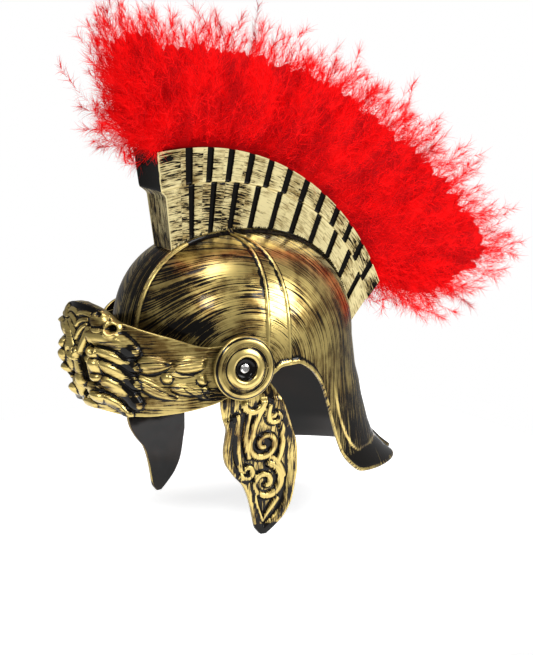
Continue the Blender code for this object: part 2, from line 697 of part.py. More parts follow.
def crest_stations():
    """Return the shares of the crest's length where its section changes, with the grooves."""
    span = math.radians(CREST_FRONT_ANGLE - CREST_REAR_TOP_ANGLE) * CREST_MID_RADIUS
    half = GROOVE_WIDTH / 2.0 / span
    stations = [(0.0, 0, 0), (1.0, 0, 0)]
    for tier, count in ((0, LOWER_GROOVES), (1, UPPER_GROOVES)):
        first = FRONT_TILE - UPPER_TILE_LEAD * tier
        for number in range(count):
            middle = first + (1.0 - first) * number / count
            for place, depth in ((-half, 0), (0.0, 1), (half, 0)):
                stations.append((middle + place, depth * (1 - tier), depth * tier))
    return sorted(stations)


def crest_depths(stations):
    """Give every station the groove depth of both tiers."""
    shares = np.array([station[0] for station in stations])
    span = math.radians(CREST_FRONT_ANGLE - CREST_REAR_TOP_ANGLE) * CREST_MID_RADIUS
    half = GROOVE_WIDTH / 2.0 / span
    depths = []
    for tier in (1, 2):
        middles = [station[0] for station in stations if station[tier]]
        distance = np.min(np.abs(shares[:, None] - np.array(middles)[None, :]), axis=1)
        depths.append(np.clip(1.0 - distance / half, 0.0, 1.0))
    return zip(shares, depths[0], depths[1])


def crest_holder():
    """Build the two-tier crest with its grooves and the channel that holds the plume."""
    outer, inner = [], []
    end = CREST_WALL / (math.radians(CREST_FRONT_ANGLE - CREST_REAR_TOP_ANGLE) * CREST_MID_RADIUS)
    for share, lower_groove, upper_groove in crest_depths(crest_stations()):
        outer.append(crest_section(share, lower_groove, upper_groove)[0])
        inner.append(crest_section(min(max(share, end), 1.0 - end), 0, 0)[1])
    mesh = plate_mesh("crest_holder", outer, inner, capped=True)
    return add_object("crest_holder", mesh, "crest_holder")


# Plume

def plume_column(root, tip, reach, sway, fullness):
    """Return one closed section of the plume, from its foot in the channel to its tip."""
    share = (CREST_FRONT_ANGLE - root) / (CREST_FRONT_ANGLE - CREST_REAR_TOP_ANGLE)
    foot, top = crest_line(share)
    up = (top - foot) / np.linalg.norm(top - foot)
    bottom = top - up * (CHANNEL_DEPTH - CLEARANCE)
    mouth = top + up * PLUME_LIFT
    point = polar(tip, CREST_FRONT_TOP_RADIUS + reach * PLUME_REACH)
    foot_half = CHANNEL_HALF_WIDTH - CLEARANCE
    left = [bottom + (foot_half, 0.0, 0.0), mouth + (foot_half, 0.0, 0.0)]
    right = [bottom - (foot_half, 0.0, 0.0), mouth - (foot_half, 0.0, 0.0)]
    for section in PLUME_SECTIONS:
        middle = mouth + (point - mouth) * section["height"]
        half = PLUME_HALF_WIDTH * section["width"] * fullness
        lean = sway * section["height"] ** 2
        left.append(middle + (lean + half, 0.0, 0.0))
        right.append(middle + (lean - half, 0.0, 0.0))
    return left + right[::-1]


def feather_plume():
    """Build the plume: locks fused side by side on a foot strip in the crest's channel."""
    columns = []
    for number, lock in enumerate(PLUME_LOCKS):
        sway = PLUME_SWAY * (-1) ** number
        columns.append(plume_column(lock["root"], lock["tip"], lock["reach"], sway, 1.0))
        if number + 1 == len(PLUME_LOCKS):
            break
        after = PLUME_LOCKS[number + 1]
        for step in LOCK_STEPS:
            share = step["place"]
            root = lock["root"] + (after["root"] - lock["root"]) * share
            tip = lock["tip"] + (after["tip"] - lock["tip"]) * share
            reach = (lock["reach"] + (after["reach"] - lock["reach"]) * share) * step["reach"]
            columns.append(plume_column(root, tip, reach, sway * (1.0 - 2.0 * share), step["full"]))
    mesh_data = bmesh.new()
    grid = grid_vertices(mesh_data, columns)
    for line in grid:
        line.append(line[0])
    grid_faces(mesh_data, grid)
    mesh_data.faces.new(grid[0][:-1])
    mesh_data.faces.new(grid[-1][:-1])
    mesh = finish_mesh("feather_plume", mesh_data)
    return add_object("feather_plume", mesh, "feather_plume")


# Visor

def visor_plane():
    """Return how far the visor's inner face lies outside the cheek guard's inner face."""
    return SHEET_WALL + VISOR_GAP


def plan_curve(out):
    """Return the plan of the visor or a cheek guard at a distance outside the cheek guard's
    inner face: half width of its ellipse, and the angle where it passes the rivet."""
    pivot = rivet_point(1, out)
    length = VISOR_FRONT_LENGTH
    depth = VISOR_MID - pivot[1]
    half_width = pivot[0] / math.sqrt(1.0 - (depth / length) ** 2)
    return half_width, math.acos(depth / length)


def plan_point(out, share, lean=0.0):
    """Return a point of that plan: share 0 at the front, 1 at the rivet, more behind it."""
    half_width, end = plan_curve(out)
    length = VISOR_FRONT_LENGTH - lean
    turn = min(share, 1.0) * end
    point = np.array((half_width * math.sin(turn), VISOR_MID - length * math.cos(turn), 0.0))
    if share > 1.0:
        tilt = math.radians(PIVOT_TILT)
        point += (share - 1.0) * TAB_RADIUS * np.array((math.sin(tilt), math.cos(tilt), 0.0))
    return point


def form_height(forms, across, up, scale):
    """Add up the raised forms of a table at a point, each like a rounded bar."""
    total = 0.0
    for form in forms:
        start = np.array((form["x0"], form["z0"])) * VISOR_HEIGHT
        run = np.array((form["x1"], form["z1"])) * VISOR_HEIGHT - start
        spot = np.array((abs(across), up)) - start
        share = np.clip(spot.dot(run) / max(run.dot(run), 1e-12), 0.0, 1.0)
        distance = np.linalg.norm(spot - run * share) / (form["width"] * VISOR_HEIGHT)
        total += scale * form["height"] * max(1.0 - distance ** 2, 0.0) ** 1.2
    return total


def visor_relief(across, up, from_rivet):
    """Return the height of the lion mask and the laurel on the visor."""
    relief = form_height(MASK_FORMS, across, up, MASK_RELIEF)
    relief += form_height(LAUREL_FORMS, across, up, LEAF_RELIEF)
    return max(relief, 0.0) * float(smooth((from_rivet - PLAIN_RADIUS) / PLAIN_FADE))


def visor_shares():
    """Return the shares of the half visor's columns, from the front to the end of its tab."""
    body = [(i / VISOR_COLUMNS) for i in range(VISOR_COLUMNS)]
    tab = [1.0 + math.sin(math.radians(90.0 * i / TAB_COLUMNS)) for i in range(TAB_COLUMNS)]
    return body + tab + [1.0 + math.sin(math.radians(TAB_LAST_ANGLE))]


def visor_band():
    """Build the visor: a tall curved band with a lion mask, hung on two tabs."""
    out = visor_plane()
    shares = visor_shares()
    pivot = rivet_point(1, out)
    plan = [plan_point(out, share) for share in shares]
    lengths = [0.0]
    for first, second in zip(plan, plan[1:]):
        lengths.append(lengths[-1] + np.linalg.norm(second - first))
    half = []
    for share, along in zip(shares, lengths):
        top = table(VISOR_EDGES, "along", "top", share) * VISOR_HEIGHT
        bottom = table(VISOR_EDGES, "along", "bottom", share) * VISOR_HEIGHT
        if share > 1.0:
            top = TAB_RADIUS * math.sqrt(max(1.0 - (share - 1.0) ** 2, 0.0))
            bottom = -top
        line = []
        for row in range(VISOR_ROWS + 1):
            sink = row / VISOR_ROWS
            up = top + (bottom - top) * sink
            lean = VISOR_LEAN * sink * float(smooth((1.0 - share) / LEAN_FADE))
            point = plan_point(out, share, lean)
            near = plan_point(out, share + 0.01, lean) - plan_point(out, share - 0.01, lean)
            normal = np.array((near[1], -near[0], 0.0)) / np.linalg.norm(near)
            from_rivet = math.hypot(np.linalg.norm(point[:2] - pivot[:2]), up)
            relief = visor_relief(along, up, from_rivet)
            inner = point + (0.0, 0.0, up)
            line.append((inner, inner + normal * (SHEET_WALL + relief)))
        half.append(line)
    mirror = np.array((-1.0, 1.0, 1.0))
    left = [[pair[1] for pair in line] for line in half]
    right = [[point * mirror for point in line] for line in left[:0:-1]]
    inner_left = [[pair[0] for pair in line] for line in half]
    inner_right = [[point * mirror for point in line] for line in inner_left[:0:-1]]
    mesh = plate_mesh("visor_band", right + left, inner_right + inner_left)
    hinge = rivet_point(1, out + SHEET_WALL / 2.0) * (0.0, 1.0, 1.0)
    pivot_empty = add_pivot("visor_pivot", hinge)
    band = add_object("visor_band", mesh, "visor_band", pivot_empty)
    for side in (1, -1):
        drill(band, side, RIVET_RADIUS + VISOR_HOLE_PLAY)
    return band


# Cheek guards

def scroll_points():
    """Return points along every scroll, across and down from the rivet in metres."""
    points = []
    for scroll in CHEEK_SCROLLS:
        for k in range(SCROLL_POINTS):
            share = k / (SCROLL_POINTS - 1.0)
            turn = math.radians(scroll["start"]) + scroll["hand"] * 2.0 * math.pi * scroll["turns"] * share
            radius = scroll["radius"] * CHEEK_WIDTH * (1.0 - SCROLL_CLOSING * share)
            across = scroll["across"] * CHEEK_WIDTH + radius * math.cos(turn)
            drop = scroll["drop"] * CHEEK_LENGTH + radius * math.sin(turn)
            points.append((across, drop))
    return np.array(points)


def cheek_edges(drop):
    """Return the front and rear edge of a cheek guard at a drop below the rivet line."""
    share = drop / CHEEK_LENGTH
    front = table(CHEEK_OUTLINE, "drop", "front", share) * CHEEK_WIDTH
    rear = table(CHEEK_OUTLINE, "drop", "rear", share) * CHEEK_WIDTH
    if drop < CHEEK_OUTLINE[0]["drop"] * CHEEK_LENGTH:
        half = math.sqrt(max(CHEEK_TAB_RADIUS ** 2 - min(drop, 0.0) ** 2, 1e-8))
        blend = float(smooth(drop / (CHEEK_OUTLINE[0]["drop"] * CHEEK_LENGTH)))
        front = -half + (front + half) * blend
        rear = half + (rear - half) * blend
    return front, rear


def cheek_point(across, drop, out):
    """Return a point of the left cheek guard at a distance outside its inner face."""
    pivot = rivet_point(1, out)
    y = PIVOT_Y + across
    half_width, _ = plan_curve(out)
    if across < 0.0:
        x = half_width * math.sqrt(1.0 - ((y - VISOR_MID) / VISOR_FRONT_LENGTH) ** 2)
    else:
        x = pivot[0] + across * math.tan(math.radians(PIVOT_TILT))
    x -= CHEEK_LEAN * float(smooth((drop - CHEEK_LEAN_START) / CHEEK_LEAN_LENGTH))
    return np.array((x, y, -drop))


def cheek_guard(side):
    """Build the cheek guard of one side: a leaf-shaped plate with a rim and scrolls."""
    scrolls = scroll_points()
    outer, inner = [], []
    top = -CHEEK_TAB_RADIUS
    for row in range(CHEEK_ROWS + 1):
        drop = top + (CHEEK_LENGTH - top) * row / CHEEK_ROWS
        front, rear = cheek_edges(drop)
        outer_line, inner_line = [], []
        for number in range(CHEEK_COLUMNS + 1):
            across = front + (rear - front) * number / CHEEK_COLUMNS
            from_edge = min(across - front, rear - across, CHEEK_LENGTH - drop)
            from_scroll = np.min(np.linalg.norm(scrolls - (across, drop), axis=1))
            rim = float(smooth(1.6 - from_edge / RIM_WIDTH))
            scroll = max(1.0 - (from_scroll / SCROLL_HALF_WIDTH) ** 2, 0.0) ** 0.5
            below_visor = float(smooth((drop - PLAIN_RADIUS) / SCROLL_FADE))
            relief = max(rim * RIM_RELIEF, scroll * SCROLL_RELIEF) * below_visor
            mirror = np.array((side, 1.0, 1.0))
            outer_line.append(cheek_point(across, drop, SHEET_WALL + relief) * mirror)
            inner_line.append(cheek_point(across, drop, 0.0) * mirror)
        outer.append(outer_line)
        inner.append(inner_line)
    name = "cheek_guard_left" if side > 0 else "cheek_guard_right"
    mesh = plate_mesh(name, outer, inner)
    pivot = add_pivot(name + "_pivot", rivet_point(side, 0.0))
    guard = add_object(name, mesh, "cheek_guard", pivot)
    drill(guard, side, RIVET_RADIUS + CLEARANCE)
    return guard


# Rosettes and rivets

def rosette_plane():
    """Return how far a rosette's back lies outside the cheek guard's inner face."""
    return visor_plane() + SHEET_WALL + ROSETTE_GAP


def rosette(side):
    """Build the turned boss that covers one pivot."""
    name = "rosette_left" if side > 0 else "rosette_right"
    steps = [(row["front"] * ROSETTE_DEPTH, row["radius"] * ROSETTE_RADIUS) for row in ROSETTE_PROFILE]
    start = rivet_point(side, rosette_plane())
    mesh = rod(name, start, rivet_axis(side), steps, ROSETTE_SIDES)
    boss = add_object(name, mesh, "rosette")
    drill(boss, side, RIVET_RADIUS + CLEARANCE)
    return boss


def rivet(side):
    """Build the rivet that holds a rosette, the visor and a cheek guard on the bowl."""
    name = "rivet_left" if side > 0 else "rivet_right"
    wall = bowl_wall_out()
    cup = ROSETTE_PROFILE[-1]["front"] * ROSETTE_DEPTH
    head = rosette_plane() + cup + CLEARANCE
    tail = wall - CLEARANCE - RIVET_TAIL_HEIGHT
    steps = (
        (tail, RIVET_TAIL_RADIUS),
        (tail + RIVET_TAIL_HEIGHT, RIVET_TAIL_RADIUS),
        (tail + RIVET_TAIL_HEIGHT, RIVET_RADIUS),
        (head, RIVET_RADIUS),
        (head, RIVET_HEAD_RADIUS),
        (head + RIVET_HEAD_HEIGHT / 2.0, RIVET_HEAD_RADIUS),
        (head + RIVET_HEAD_HEIGHT, RIVET_HEAD_RADIUS * RIVET_HEAD_TOP_SHARE),
    )
    mesh = rod(name, rivet_point(side, 0.0), rivet_axis(side), steps, RIVET_SIDES)
    return add_object(name, mesh, "rivet")


def bowl_wall_out():
    """Return where the tail's face clears the bowl's inside: its lowest point round the tail."""
    lowest = 0.0
    axis = rivet_axis(1)
    pivot = rivet_point(1, 0.0)
    middle = math.degrees(math.atan2(pivot[0], BOWL_MID - pivot[1]))
    for angle in middle + np.arange(-TAIL_SEARCH_ANGLE, TAIL_SEARCH_ANGLE, 1.0):
        for height in np.linspace(-TAIL_SEARCH_HEIGHT, TAIL_SEARCH_HEIGHT, 9):
            spot = bowl_point(angle, height) - BOWL_WALL * bowl_normal(angle, height)
            offset = spot - pivot
            along = offset.dot(axis)
            if np.linalg.norm(offset - axis * along) < RIVET_TAIL_RADIUS * TAIL_SEARCH_SHARE:
                lowest = min(lowest, along)
    return lowest


def main():
    """Build every piece of the helmet."""
    clear_scene()
    skull_bowl()
    crest_holder()
    feather_plume()
    visor_band()
    for side in (1, -1):
        cheek_guard(side)
        rosette(side)
        rivet(side)


main()
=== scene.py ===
"""Roman legionary costume helmet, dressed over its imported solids.

The helmet faces -Y, +Z is up and +X is the wearer's left. The origin is the inside of the
crown. Each sub-assembly is a class that holds its sizes, builds its meshes and dresses them.
"""

import enum
import logging
import math
from collections.abc import Callable, Sequence
from dataclasses import dataclass, field

import bmesh
import bpy
import numpy as np
from mathutils import Matrix, Vector


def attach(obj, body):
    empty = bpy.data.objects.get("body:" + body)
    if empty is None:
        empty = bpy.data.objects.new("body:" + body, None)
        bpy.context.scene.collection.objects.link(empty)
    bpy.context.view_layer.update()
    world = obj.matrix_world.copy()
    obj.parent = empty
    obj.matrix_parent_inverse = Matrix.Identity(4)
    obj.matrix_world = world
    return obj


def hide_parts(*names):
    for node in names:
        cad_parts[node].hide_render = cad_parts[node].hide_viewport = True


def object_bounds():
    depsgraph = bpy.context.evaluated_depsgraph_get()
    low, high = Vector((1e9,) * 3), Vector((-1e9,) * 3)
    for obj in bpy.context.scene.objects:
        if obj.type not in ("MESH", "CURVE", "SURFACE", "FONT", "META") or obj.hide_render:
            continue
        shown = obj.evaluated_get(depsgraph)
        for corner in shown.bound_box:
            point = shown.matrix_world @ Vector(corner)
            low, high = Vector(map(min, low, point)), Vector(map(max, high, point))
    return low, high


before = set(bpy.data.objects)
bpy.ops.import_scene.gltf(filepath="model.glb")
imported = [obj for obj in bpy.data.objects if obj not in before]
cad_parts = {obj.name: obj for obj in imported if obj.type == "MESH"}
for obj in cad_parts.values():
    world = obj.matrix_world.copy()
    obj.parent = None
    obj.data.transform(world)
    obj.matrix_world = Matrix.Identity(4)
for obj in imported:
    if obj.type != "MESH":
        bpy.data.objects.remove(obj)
CAD_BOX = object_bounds()

LOG = logging.getLogger("helmet")
Array = np.ndarray
Surface = Callable[[Array, Array], tuple[Array, Array]]
Piece = bpy.types.Object
Paint = bpy.types.Material
Socket = bpy.types.NodeSocket
Shape = bmesh.types.BMesh

# From the rivet line up to the crown, and from the dome's middle back to the origin, in metres
RISE = 0.104
SETBACK = 0.012

# Millimetres in a metre, and how near two points of a mesh are one, in metres
MM = 1000.0
MERGE = 1e-5


class Body(enum.Enum):
    """The rigid bodies that the pieces ride on."""

    SHELL = "shell"
    VISOR = "visor"
    CHEEK_LEFT = "cheek_left"
    CHEEK_RIGHT = "cheek_right"


class Side(enum.Enum):
    """The wearer's left, at +X, and right."""

    LEFT = 1
    RIGHT = -1

    @property
    def word(self) -> str:
        """Return the side's name as the solids spell it."""
        return self.name.lower()


# Shared shaping tools

def ease(value: Array) -> Array:
    """Ease numbers from 0 to 1.

    Args:
        value: Numbers of any size.

    Returns:
        The numbers held between 0 and 1 and smoothed at both ends.
    """
    share = np.clip(value, 0.0, 1.0)
    return share * share * (3.0 - 2.0 * share)


def flowing(rows: Sequence[tuple], at: Array, value: int = 1) -> Array:
    """Read a column of a table along a smooth curve that never overshoots.

    Args:
        rows: Rows of numbers, the first of each rising from row to row.
        at: Where to read the table.
        value: Which number of each row is read.

    Returns:
        The table's values at those places.
    """
    x = np.array([row[0] for row in rows], dtype=float)
    y = np.array([row[value] for row in rows], dtype=float)
    run = np.diff(x)
    slope = np.diff(y) / run
    tangent = np.zeros_like(y)
    same = slope[:-1] * slope[1:] > 0.0
    total = run[:-1] + run[1:]
    with np.errstate(divide="ignore", invalid="ignore"):
        mean = 3.0 * total / ((total + run[1:]) / slope[:-1] + (total + run[:-1]) / slope[1:])
    tangent[1:-1] = np.where(same, np.nan_to_num(mean), 0.0)
    tangent[0], tangent[-1] = slope[0], slope[-1]
    spot = np.clip(at, x[0], x[-1])
    k = np.clip(np.searchsorted(x, spot) - 1, 0, len(x) - 2)
    t = (spot - x[k]) / run[k]
    start = (1.0 + 2.0 * t) * (1.0 - t) ** 2 * y[k] + t * (1.0 - t) ** 2 * run[k] * tangent[k]
    end = t * t * (3.0 - 2.0 * t) * y[k + 1] + t * t * (t - 1.0) * run[k] * tangent[k + 1]
    return start + end


def straight(rows: Sequence[tuple], at: Array, value: int = 1) -> Array:
    """Read a column of a table by straight lines between its rows.

    Args:
        rows: Rows of numbers, the first of each rising from row to row.
        at: Where to read the table.
        value: Which number of each row is read.

    Returns:
        The table's values at those places.
    """
    return np.interp(at, [row[0] for row in rows], [row[value] for row in rows])


def ripple(x: Array, y: Array, seed: float = 0.0) -> Array:
    """Give a soft repeatable unevenness from a few crossing waves.

    Args:
        x: First place, in waves.
        y: Second place, in waves.
        seed: Shifts the pattern.

    Returns:
        Numbers from about -1 to 1.
    """
    first = np.sin(2.1 * x + 1.3 * y + seed) + np.sin(-1.7 * x + 2.9 * y + 1.7 * seed)
    second = np.sin(3.7 * x - 1.1 * y + 2.3 * seed) + np.sin(0.9 * x + 4.3 * y + 0.7 * seed)
    return (first + second) / 4.0


def bar(x: Array, z: Array, form: tuple) -> Array:
    """Measure places against a tapering bar.

    Args:
        x: Places across.
        z: Places up.
        form: x0, z0, x1, z1, the half widths at both ends.

    Returns:
        The distance from the bar's middle line as a share of its half width.
    """
    x0, z0, x1, z1, wide0, wide1 = form
    run = max((x1 - x0) ** 2 + (z1 - z0) ** 2, 1e-12)
    share = np.clip(((x - x0) * (x1 - x0) + (z - z0) * (z1 - z0)) / run, 0.0, 1.0)
    away = np.hypot(x - x0 - share * (x1 - x0), z - z0 - share * (z1 - z0))
    return away / (wide0 + (wide1 - wide0) * share)


def swell(away: Array, power: float = 1.0) -> Array:
    """Turn a distance share into a rounded rise.

    Args:
        away: Distance from the middle line as a share of the half width.
        power: Below 1 gives steep flanks, above 1 soft ones.

    Returns:
        1 on the middle line and 0 outside.
    """
    return np.maximum(1.0 - away * away, 0.0) ** power


def unit(run: Array) -> Array:
    """Return vectors at a length of 1."""
    return run / np.linalg.norm(run, axis=-1, keepdims=True)


def peak(away: Array, width: float) -> Array:
    """Return a soft peak, 1 where the distance is 0 and about 0 from twice the width."""
    return np.exp(-(away / width) ** 2)


def along_curve(
    x: Array,
    z: Array,
    start: tuple,
    bend: tuple,
    end: tuple,
    wide0: float,
    wide1: float,
) -> tuple[Array, Array, Array]:
    """Measure places against a curved tapering lock.

    Args:
        x: Places across.
        z: Places up.
        start: Where the lock begins.
        bend: The corner that its curve leans to.
        end: Where it ends.
        wide0: Half width at its start.
        wide1: Half width at its end.

    Returns:
        The share of its length, the distance to its side as a share of its half width, and
        the distance from its middle line as such a share.
    """
    t = np.linspace(0.0, 1.0, 16)
    a, b, c = np.array(start), np.array(bend), np.array(end)
    line = ((1.0 - t) ** 2)[:, None] * a + (2.0 * t * (1.0 - t))[:, None] * b + (t ** 2)[:, None] * c
    run = (2.0 * (1.0 - t))[:, None] * (b - a) + (2.0 * t)[:, None] * (c - b)
    length = np.linalg.norm(run, axis=1)
    run = run / length[:, None]
    near = np.argmin((x[:, None] - line[None, :, 0]) ** 2 + (z[:, None] - line[None, :, 1]) ** 2, axis=1)
    dx, dz = x - line[near, 0], z - line[near, 1]
    ahead = dx * run[near, 0] + dz * run[near, 1]
    side = dz * run[near, 0] - dx * run[near, 1]
    share = np.clip(t[near] + ahead / length[near], 0.0, 1.0)
    past = np.where((near == 0) & (ahead < 0.0), ahead, 0.0)
    past = np.where((near == len(t) - 1) & (ahead > 0.0), ahead, past)
    half = wide0 + (wide1 - wide0) * share
    return share, side / half, np.hypot(side, past) / half


def join_forms(first: Array, second: Array, soft: float) -> Array:
    """Take the higher of two reliefs with a soft valley between them, all in one unit.

    Args:
        first: One relief.
        second: The other relief.
        soft: How wide the blend is.

    Returns:
        The joined relief.
    """
    gap = np.maximum(soft - np.abs(first - second), 0.0) / soft
    return np.maximum(first, second) + gap * gap * soft * 0.25


# Shared mesh tools

def lay_sheet(shape: Shape, columns: int, rows: int, surface: Surface) -> list:
    """Lay a grid of faces on a surface.

    Args:
        shape: The bmesh that takes the grid.
        columns: Faces across.
        rows: Faces along.
        surface: Gives points and brush lines from shares of both.

    Returns:
        The grid's vertices.
    """
    layer = shape.verts.layers.float_vector["brush"]
    made = bmesh.ops.create_grid(shape, x_segments=columns, y_segments=rows, size=0.5)["verts"]
    places = np.array([vert.co[:] for vert in made])
    points, brush = surface(places[:, 0] + 0.5, places[:, 1] + 0.5)
    for vert, point, lines in zip(made, points.tolist(), brush.tolist()):
        vert.co = point
        vert[layer] = lines
    return made


def open_shape() -> Shape:
    """Start a bmesh that carries the brush lines of its points."""
    shape = bmesh.new()
    shape.verts.layers.float_vector.new("brush")
    return shape


def close_shape(name: str, shape: Shape, recalculate: bool = True) -> Piece:
    """Turn a bmesh into a shaded object at the origin.

    Args:
        name: The object's name.
        shape: The finished bmesh, which is freed.
        recalculate: Whether the faces are turned to point out.

    Returns:
        The linked object.
    """
    if recalculate:
        bmesh.ops.recalc_face_normals(shape, faces=shape.faces)
    mesh = bpy.data.meshes.new(name)
    shape.to_mesh(mesh)
    shape.free()
    mesh.shade_smooth()
    piece = bpy.data.objects.new(name, mesh)
    bpy.context.scene.collection.objects.link(piece)
    return piece


def fill_holes(shape: Shape, reach: float) -> None:
    """Merge points within a reach and close the holes that are left."""
    bmesh.ops.remove_doubles(shape, verts=shape.verts, dist=reach)
    bmesh.ops.holes_fill(shape, edges=[edge for edge in shape.edges if edge.is_boundary], sides=0)


def walled_sheet(
    name: str,
    columns: int,
    rows: int,
    outer: Surface,
    inner: Surface,
    wraps: bool = False,
) -> Piece:
    """Build a plate or a dome from an outer and a half as fine inner sheet with bridged rims.

    Args:
        name: The object's name.
        columns: Faces across.
        rows: Faces along.
        outer: The outer surface.
        inner: The inner surface, whose faces take the second material slot.
        wraps: Whether the sheet closes on itself, with its last row in one point.

    Returns:
        The closed plate, outer faces in slot 0 and inner faces in slot 1.
    """
    shape = open_shape()
    for slot, surface in enumerate((outer, inner)):
        before = set(shape.faces)
        made = lay_sheet(shape, columns // (slot + 1), rows // (slot + 1), surface)
        for face in set(shape.faces) - before:
            face.material_index = slot
        if wraps:
            bmesh.ops.remove_doubles(shape, verts=made, dist=MERGE)
    rims = [edge for edge in shape.edges if edge.is_boundary]
    bmesh.ops.bridge_loops(shape, edges=rims)
    return close_shape(name, shape)


def turned(name: str, profile: Sequence[tuple], axis: Array, start: Array, steps: int) -> Piece:
    """Spin a profile round an axis.

    Args:
        name: The object's name.
        profile: Rows of radius, front along the axis and brush wear.
        axis: The axis's direction.
        start: A point of the axis, where the front is 0.
        steps: Faces round the axis.

    Returns:
        The turned object, whose brush lines run round it.
    """
    shape = open_shape()
    layer = shape.verts.layers.float_vector["brush"]
    direction = Vector(axis).normalized()
    side = direction.cross(Vector((0.0, 0.0, 1.0))).normalized()
    centre = Vector(start)
    line = []
    for radius, front, wear_and_light in profile:
        vert = shape.verts.new(centre + side * radius + direction * front)
        vert[layer] = (0.0, radius + front, wear_and_light)
        line.append(vert)
    for first, second in zip(line, line[1:]):
        shape.edges.new((first, second))
    geometry = shape.verts[:] + shape.edges[:]
    bmesh.ops.spin(
        shape,
        geom=geometry,
        cent=centre,
        axis=direction,
        angle=2.0 * math.pi,
        steps=steps,
        use_merge=True,
    )
    bmesh.ops.remove_doubles(shape, verts=shape.verts, dist=1e-6)
    up = direction.cross(side)
    for vert in shape.verts:
        offset = vert.co - centre
        turn = math.atan2(offset.dot(up), offset.dot(side))
        across = vert[layer][1]
        vert[layer] = (0.02 * turn, across, vert[layer][2])
    return close_shape(name, shape)


def dress(piece: Piece, *paints: Paint) -> None:
    """Give a piece its materials, slot by slot."""
    for paint in paints:
        piece.data.materials.append(paint)


def settle(piece: Piece, body: Body, slot: str, *nodes: str) -> None:
    """Fasten a finished piece to its body and report it.

    Args:
        piece: The piece.
        body: The body that it moves with.
        slot: Not used.
        nodes: The solids that it stands for.
    """
    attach(piece, body.value)
    if nodes:
        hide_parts(*nodes)
    LOG.info("%s: %d faces on %s", piece.name, len(piece.data.polygons), body.value)


# Finishes

class Recipe:
    """A short way to write down a material's nodes."""

    def __init__(self, name: str) -> None:
        """Start a material with its shader and output.

        Args:
            name: The material's name.
        """
        self.material = bpy.data.materials.new(name)
        self.material.use_nodes = True
        self.tree = self.material.node_tree
        self.shader = self.tree.nodes["Principled BSDF"]

    def put(self, socket: Socket, value: object) -> None:
        """Link a socket to another one or set its constant.

        Args:
            socket: The input.
            value: An output socket, a number, a colour or a vector.
        """
        if isinstance(value, Socket):
            self.tree.links.new(value, socket)
        elif value is not None:
            socket.default_value = value

    def brush(self) -> Socket:
        """Return the piece's brush lines: along, across and wear."""
        node = self.tree.nodes.new("ShaderNodeAttribute")
        node.attribute_name = "brush"
        return node.outputs["Vector"]

    def place(self) -> Socket:
        """Return the place on the object, in metres."""
        return self.tree.nodes.new("ShaderNodeTexCoord").outputs["Object"]

    def part(self, vector: object, which: str) -> Socket:
        """Return one part of a vector.

        Args:
            vector: The vector.
            which: X, Y or Z.

        Returns:
            That part.
        """
        node = self.tree.nodes.new("ShaderNodeSeparateXYZ")
        self.put(node.inputs[0], vector)
        return node.outputs[which]

    def stretch(self, vector: object, scale: tuple, shift: tuple = (0.0, 0.0, 0.0)) -> Socket:
        """Scale and shift a vector.

        Args:
            vector: The vector.
            scale: The scale of each part.
            shift: What is added after it.

        Returns:
            The changed vector.
        """
        node = self.tree.nodes.new("ShaderNodeVectorMath")
        node.operation = "MULTIPLY_ADD"
        self.put(node.inputs[0], vector)
        node.inputs[1].default_value = scale
        node.inputs[2].default_value = shift
        return node.outputs[0]

    def noise(self, vector: object, scale: float, detail: float = 3.0, rough: float = 0.55) -> Socket:
        """Add a noise texture.

        Args:
            vector: Where it is read.
            scale: Its scale.
            detail: Its octaves.
            rough: How strong the finer octaves are.

        Returns:
            Its value, about 0.5 on average.
        """
        node = self.tree.nodes.new("ShaderNodeTexNoise")
        self.put(node.inputs["Vector"], vector)
        node.inputs["Scale"].default_value = scale
        node.inputs["Detail"].default_value = detail
        node.inputs["Roughness"].default_value = rough
        return node.outputs["Fac"]

    def sum(self, kind: str, first: object, second: object = None, third: object = None) -> Socket:
        """Add a Math node.

        Args:
            kind: Its operation.
            first: Its first value.
            second: Its second value.
            third: Its third value.

        Returns:
            Its result.
        """
        node = self.tree.nodes.new("ShaderNodeMath")
        node.operation = kind
        for socket, value in zip(node.inputs, (first, second, third)):
            self.put(socket, value)
        return node.outputs[0]

    def span(
        self,
        value: object,
        low: float,
        high: float,
        start: float = 0.0,
        end: float = 1.0,
    ) -> Socket:
        """Map a range smoothly onto another and hold it there.

        Args:
            value: The number.
            low: Where the range starts.
            high: Where it ends.
            start: The result below it.
            end: The result above it.

        Returns:
            The mapped number.
        """
        node = self.tree.nodes.new("ShaderNodeMapRange")
        node.interpolation_type = "SMOOTHSTEP"
        for name, number in (("Value", value), ("From Min", low), ("From Max", high)):
            self.put(node.inputs[name], number)
        node.inputs["To Min"].default_value = start
        node.inputs["To Max"].default_value = end
        return node.outputs[0]

    def mix(self, share: object, first: object, second: object) -> Socket:
        """Mix two colours.

        Args:
            share: How much of the second.
            first: The first colour.
            second: The second colour.

        Returns:
            The mixed colour.
        """
        node = self.tree.nodes.new("ShaderNodeMix")
        node.data_type = "RGBA"
        self.put(node.inputs["Factor"], share)
        self.put(node.inputs[6], first)
        self.put(node.inputs[7], second)
        return node.outputs[2]

    def relief(self, height: object, depth: float, strength: float = 1.0) -> None:
        """Give the surface a fine relief.

        Args:
            height: Its height from 0 to 1.
            depth: How many metres 1 stands for.
            strength: How much of it shows.
        """
        node = self.tree.nodes.new("ShaderNodeBump")
        node.inputs["Distance"].default_value = depth
        node.inputs["Strength"].default_value = strength
        self.put(node.inputs["Height"], height)
        self.put(self.shader.inputs["Normal"], node.outputs[0])

    def surface(self, **sockets: object) -> Paint:
        """Fill the shader's sockets and return the material.

        Args:
            sockets: Socket names with underscores for spaces, and their values.

        Returns:
            The material.
        """
        for name, value in sockets.items():
            self.put(self.shader.inputs[name.replace("_", " ")], value)
        return self.material


